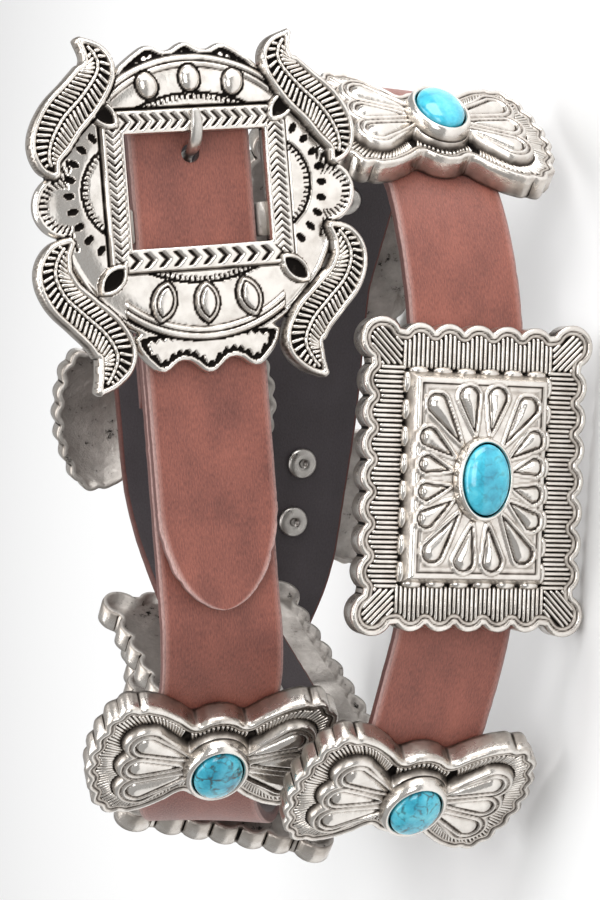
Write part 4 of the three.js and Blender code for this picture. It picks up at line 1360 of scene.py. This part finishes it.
# Teeth along the crowns, strokes in the side lobes, a ring, stroked arcs and rows of dots.
def stampedWork(x, y, height, recess):
    look = buckleLook
    ax = np.abs(x)
    deep = buckleDistance(x, y)
    far = np.hypot(x, y - look["ringCentre"]) - look["ringRadius"]
    saw = np.abs(sawOf((x + 0.25) / 1.9) - 0.5) * 2
    teeth = (ax < 20.5) & (far > 0.8) & (deep > 1.25) & (deep < 2.0 + 0.95 * saw)
    height, recess = cutInto(height, recess, teeth, 0.4)
    side = (ax > 26.5) & (np.abs(y - look["middle"]) < 10.5)
    angle = np.arctan2(y - look["middle"], ax - look["lobeOut"] + 3.0)
    strokes = side & (deep > 1.35) & (deep < 3.4) & (sawOf(angle * 8.5 / 1.35) < 0.42)
    height, recess = cutInto(height, recess, strokes)
    ring = (ax < 19.5) & (np.abs(far + 1.15) < 2.0)
    height = np.where(ring, readFrom(ringHeight, far), height)
    recess = np.where(ring, readFrom(ringRecess, far), recess)
    for centre, radius, near in (
        ((16.4, -6.0), 11.6, (ax > 22.8) & (np.abs(y + 6) < 9.8)), ((0.0, 2.8), 31.0, (ax < 14.5) & (y < 0)),
        ((0.0, -16.0), 32.0, (ax < 14.0) & (y > 0)),
    ):
        height, recess = cutInto(height, recess, near & strokedArc(ax, y, centre, radius))
    free = windowGap(x, y) > look["band"] + 0.3
    for lean in np.linspace(-dotLook["spread"], dotLook["spread"], dotLook["gaps"] + 1):
        way = np.array([math.cos(math.radians(lean)), math.sin(math.radians(lean))])
        dot = ovalDepth(ax, y, dotLook["centre"] + dotLook["radius"] * way, *dotLook["half"], lean)
        height = np.where(free & (dot > 0), height - dotLook["depth"] * softStep(0, 0.3, dot), height)
        recess = np.where(free & (dot > -0.1), 1.0, recess)
    return height, recess


# Bosses at both ends, leaf shapes at the window's corners, and the feathers.
def raisedWork(x, y, height, recess):
    ax = np.abs(x)
    for across, along, halfAcross, halfAlong, lean, grooved in bossRows:
        if grooved:
            deep = almondDepth(ax, y, (across, along), halfAlong, halfAcross, lean + 90)
        else:
            deep = ovalDepth(ax, y, (across, along), halfAcross, halfAlong, lean)
        dome, dark = readFrom(domeHeight, deep), readFrom(domeRecess, deep)
        if grooved:
            dome -= readFrom(grooveDepth, deep)
            dark = np.maximum(dark, readFrom(grooveRecess, deep))
        height = np.where(deep > 0, 3.3 + dome, height)
        recess = np.where(deep > -0.55, dark, recess)
    for centre, lean in eyeRows:
        deep = almondDepth(ax, y, centre, 4.7, 2.7, lean)
        height = np.where(deep > 0, readFrom(eyeHeight, deep), height)
        recess = np.where(deep > -0.3, readFrom(eyeRecess, deep), recess)
    deep = featherDepth(x, y)
    height = np.where(deep > 0, readFrom(featherHeight, deep), height)
    return height, np.where(deep > -0.6, readFrom(featherRecess, deep), recess)


def buckleHeights(x, y):
    look = buckleLook
    height = 2.5 + 1.0 * softStep(0, 7, look["radius"] - np.hypot(x, y - look["middle"]))
    edge = readFrom(edgeHeight, buckleDistance(x, y))
    height = np.where(windowGap(x, y) > look["band"], height + edge, height)
    height, recess = stampedWork(x, y, height, np.full(x.shape, 0.04))
    height, recess = chevronBand(x, y, height, recess)
    return raisedWork(x, y, height, recess)


# Ribs that lean away from each feather's spine, and a vein along it.
def featherRibs():
    rows = []
    for name, spine in featherSpines.items():
        line = spine[:, :2]
        far = lengthsAlong(line)
        places = np.arange(3.2, far[-1] - 3.0, buckleLook["ribPitch"])
        spots = spotsAt(places, far, line)
        ahead = spotsAt(places + 0.4, far, line) - spots
        heading = np.arctan2(ahead[:, 1], ahead[:, 0])
        depth = featherDepths[name]
        for turn in (68, -68):
            angles = heading + math.radians(turn)
            ways = np.stack([np.cos(angles), np.sin(angles)], 1)
            made = ribsAlong(spots + ways * 0.55, ways, lambda x, y: depth(x, y) > 1.2, 7, 4.4, 0.7)
            rows += made + [(-x, y, z, math.pi - angle, reach) for x, y, z, angle, reach in made]
        places = np.arange(3.0, far[-1] - 3.4, 1.9)
        spots, ahead = spotsAt(places + 0.95, far, line), spotsAt(places + 1.4, far, line)
        for (x, y), (nextX, nextY) in zip(spots, ahead):
            angle = math.atan2(nextY - y, nextX - x)
            rows += [(x, y, 4.55, angle, 2.15), (-x, y, 4.55, math.pi - angle, 2.15)]
    return rows


# Beyond the start of the bend the buckle curves inwards on a wide arc.
def bendBackwards(form):
    for points in form["points"]:
        past = np.maximum(0, -points[:, 1] - buckleLook["bendStart"])
        points[:, 2] -= past ** 2 / (2 * buckleLook["bendRadius"])


# A closed upright block with rounded corners that holds the bar.
def addLug(form, side):
    corner = lugLook["corner"]
    ring = []
    for quarter, (sx, sy) in enumerate(((1, 1), (-1, 1), (-1, -1), (1, -1))):
        for step in range(5):
            angle = math.radians(90 * quarter + 22.5 * step)
            x = side * lugLook["out"] + sx * (lugLook["halfAcross"] - corner) + corner * math.cos(angle)
            y = lugLook["along"] + sy * (lugLook["halfAlong"] - corner) + corner * math.sin(angle)
            ring.append((x, y))
    points = [(x, y, z) for z in (lugLook["bottom"], lugLook["top"]) for x, y in ring]
    addTo(form, points, endFaces(2, len(ring)) + ringFaces(2, len(ring)), 0.25, 1)


def makeBuckle():
    form = newForm()
    walls = [(0.0, 1.6, .25), (0.0, 0.35, .4), (0.25, 0.0, .5)]
    reach = (-43, 43, -44, 43)
    addCasting(form, buckleDistance, buckleHeights, reach, buckleLook["step"], walls, backSheet=True)
    addStamps(form, ribStamp, featherRibs(), buckleLook["ribBreadth"], buckleLook["ribRise"], 0.06, 9)
    bendBackwards(form)
    for side in (-1, 1):
        addLug(form, side)
    newCasting("buckleCasting", form, [silver, silverBack], "buckle_frame", buckleSeat)
    print("buckle:", len(form["faces"]), "faces")


prongRows = [  # along, outwards, width, height
    (1.0, -6.3, 3.4, 1.6), (-3.2, -5.5, 3.4, 2.0), (-8, -5.35, 3.3, 2.0), (-12, -5.2, 3.2, 1.9),
    (-14.1, -3.3, 2.9, 1.8), (-14.8, 0.4, 2.9, 1.8), (-16.2, 3.4, 3.0, 1.9), (-18.2, 5.2, 3.0, 2.0),
    (-21.2, 6.1, 2.8, 1.8), (-24.2, 5.9, 1.8, 1.2),
]
prongEyeRows = [  # radius, across
    (2.35, -1.7), (3.3, -1.7), (3.5, -1.5), (3.5, 1.5), (3.3, 1.7), (2.35, 1.7), (2.2, 1.5), (2.2, -1.5),
]
prongLook = {"sides": 14, "squareness": 0.7, "eyeSides": 28, "eyeAlong": 2.0, "eyeOut": -8.9}


# A part of a circle's width, kept nearer to a square with rounded corners.
def squared(share):
    return math.copysign(abs(share) ** prongLook["squareness"], share)


def makeProng():
    look = prongLook
    spine = smoothRows(prongRows, 5)
    way = np.gradient(spine[:, :2], axis=0)
    way /= np.linalg.norm(way, axis=1)[:, None]
    points = []
    for (along, out, width, height), (stepAlong, stepOut) in zip(spine, way):
        for side in range(look["sides"]):
            angle = 2 * math.pi * side / look["sides"]
            u, v = squared(math.cos(angle)) * width / 2, squared(math.sin(angle)) * height / 2
            points.append((u, along + v * stepOut, out - v * stepAlong))
    form = newForm()
    rings = len(spine)
    addTo(form, points, ringFaces(rings, look["sides"]) + endFaces(rings, look["sides"]), 0.05)
    points = []
    for radius, across in prongEyeRows:
        for side in range(look["eyeSides"]):
            angle = 2 * math.pi * side / look["eyeSides"]
            along, out = radius * math.cos(angle), radius * math.sin(angle)
            points.append((across, look["eyeAlong"] + along, look["eyeOut"] + out))
    faces = ringFaces(len(prongEyeRows) + 1, look["eyeSides"])
    addTo(form, points, [tuple(corner % len(points) for corner in face) for face in faces], 0.1)
    newCasting("buckleProng", form, [nickel], "buckle_prong", buckleSeat)


buckleSeat = seatOf(frameAtRow(rowNamed["free_end"]), strapSize["thickness"] / 2 + gap)
makeBuckle()
makeProng()
print("buckle and prong made")


for name in ("fold_screw_a", "fold_screw_b", "buckle_bar"):
    node = bpy.data.objects[name]
    node.data.materials.clear()
    node.data.materials.append(nickel)


# camera, lights and floor
shotLook = {
    "target": (0.0067, -0.05821, 0.07222), "away": 0.620, "down": 20.0, "roll": -4.0, "lens": 102.9,
    "floorHalf": 3.0, "world": 0.42,
}


def makeCamera():
    down = math.radians(shotLook["down"])
    roll = math.radians(shotLook["roll"])
    forward = Vector((0, math.cos(down), -math.sin(down)))
    skyward = Vector((1, 0, 0))
    side = forward.cross(skyward)
    up = skyward * math.cos(roll) + side * math.sin(roll)
    right = forward.cross(up).normalized()
    turn = Matrix((right, up, -forward)).transposed().to_4x4()
    camera = linked("photoCamera", bpy.data.cameras.new("photoCamera"))
    camera.matrix_world = Matrix.Translation(Vector(shotLook["target"]) - forward * shotLook["away"]) @ turn
    camera.data.sensor_fit = "VERTICAL"
    camera.data.sensor_height = 36.0
    camera.data.sensor_width = 24.0
    camera.data.lens = shotLook["lens"]
    camera.data.clip_start = 0.01
    bpy.context.scene.camera = camera


lightRows = [  # name, place, aim, width and height in metres, power in watts
    ("upperBox", (0.75, -0.30, 0.35), (0, -0.02, 0.07), (0.6, 0.7), 6.0),
    ("frontBox", (0.15, -0.95, 0.75), (0, 0, 0.07), (0.8, 0.5), 4.5),
    ("overheadBox", (0.0, 0.15, 0.9), (0, 0, 0), (0.9, 0.7), 6.0),
]


def makeLights():
    for name, place, aim, size, power in lightRows:
        light = bpy.data.lights.new(name, "AREA")
        light.shape = "RECTANGLE"
        light.size, light.size_y = size
        light.energy = power
        holder = linked(name, light)
        holder.location = place
        holder.rotation_euler = (Vector(aim) - Vector(place)).to_track_quat("-Z", "Y").to_euler()


def makeFloor():
    half = shotLook["floorHalf"]
    mesh = bpy.data.meshes.new("paleFloor")
    corners = [(-half, -half, 0), (half, -half, 0), (half, half, 0), (-half, half, 0)]
    mesh.from_pydata(corners, [], [(0, 1, 2, 3)])
    material, tree, shader = newMaterial("paleFloor")
    shader.inputs["Base Color"].default_value = (0.86, 0.86, 0.86, 1)
    shader.inputs["Roughness"].default_value = 0.9
    mesh.materials.append(material)
    linked("paleFloor", mesh)


def makeWorld():
    world = bpy.data.worlds.new("studio")
    world.use_nodes = True
    background = world.node_tree.nodes["Background"]
    background.inputs["Color"].default_value = (1.0, 1.0, 1.0, 1)
    background.inputs["Strength"].default_value = shotLook["world"]
    bpy.context.scene.world = world


makeCamera()
makeFloor()
makeWorld()
makeLights()
bpy.context.scene.view_settings.view_transform = "Standard"
for stamp in (ribStamp, domeStamp):
    bpy.data.objects.remove(stamp)
print("camera, lights and floor made")
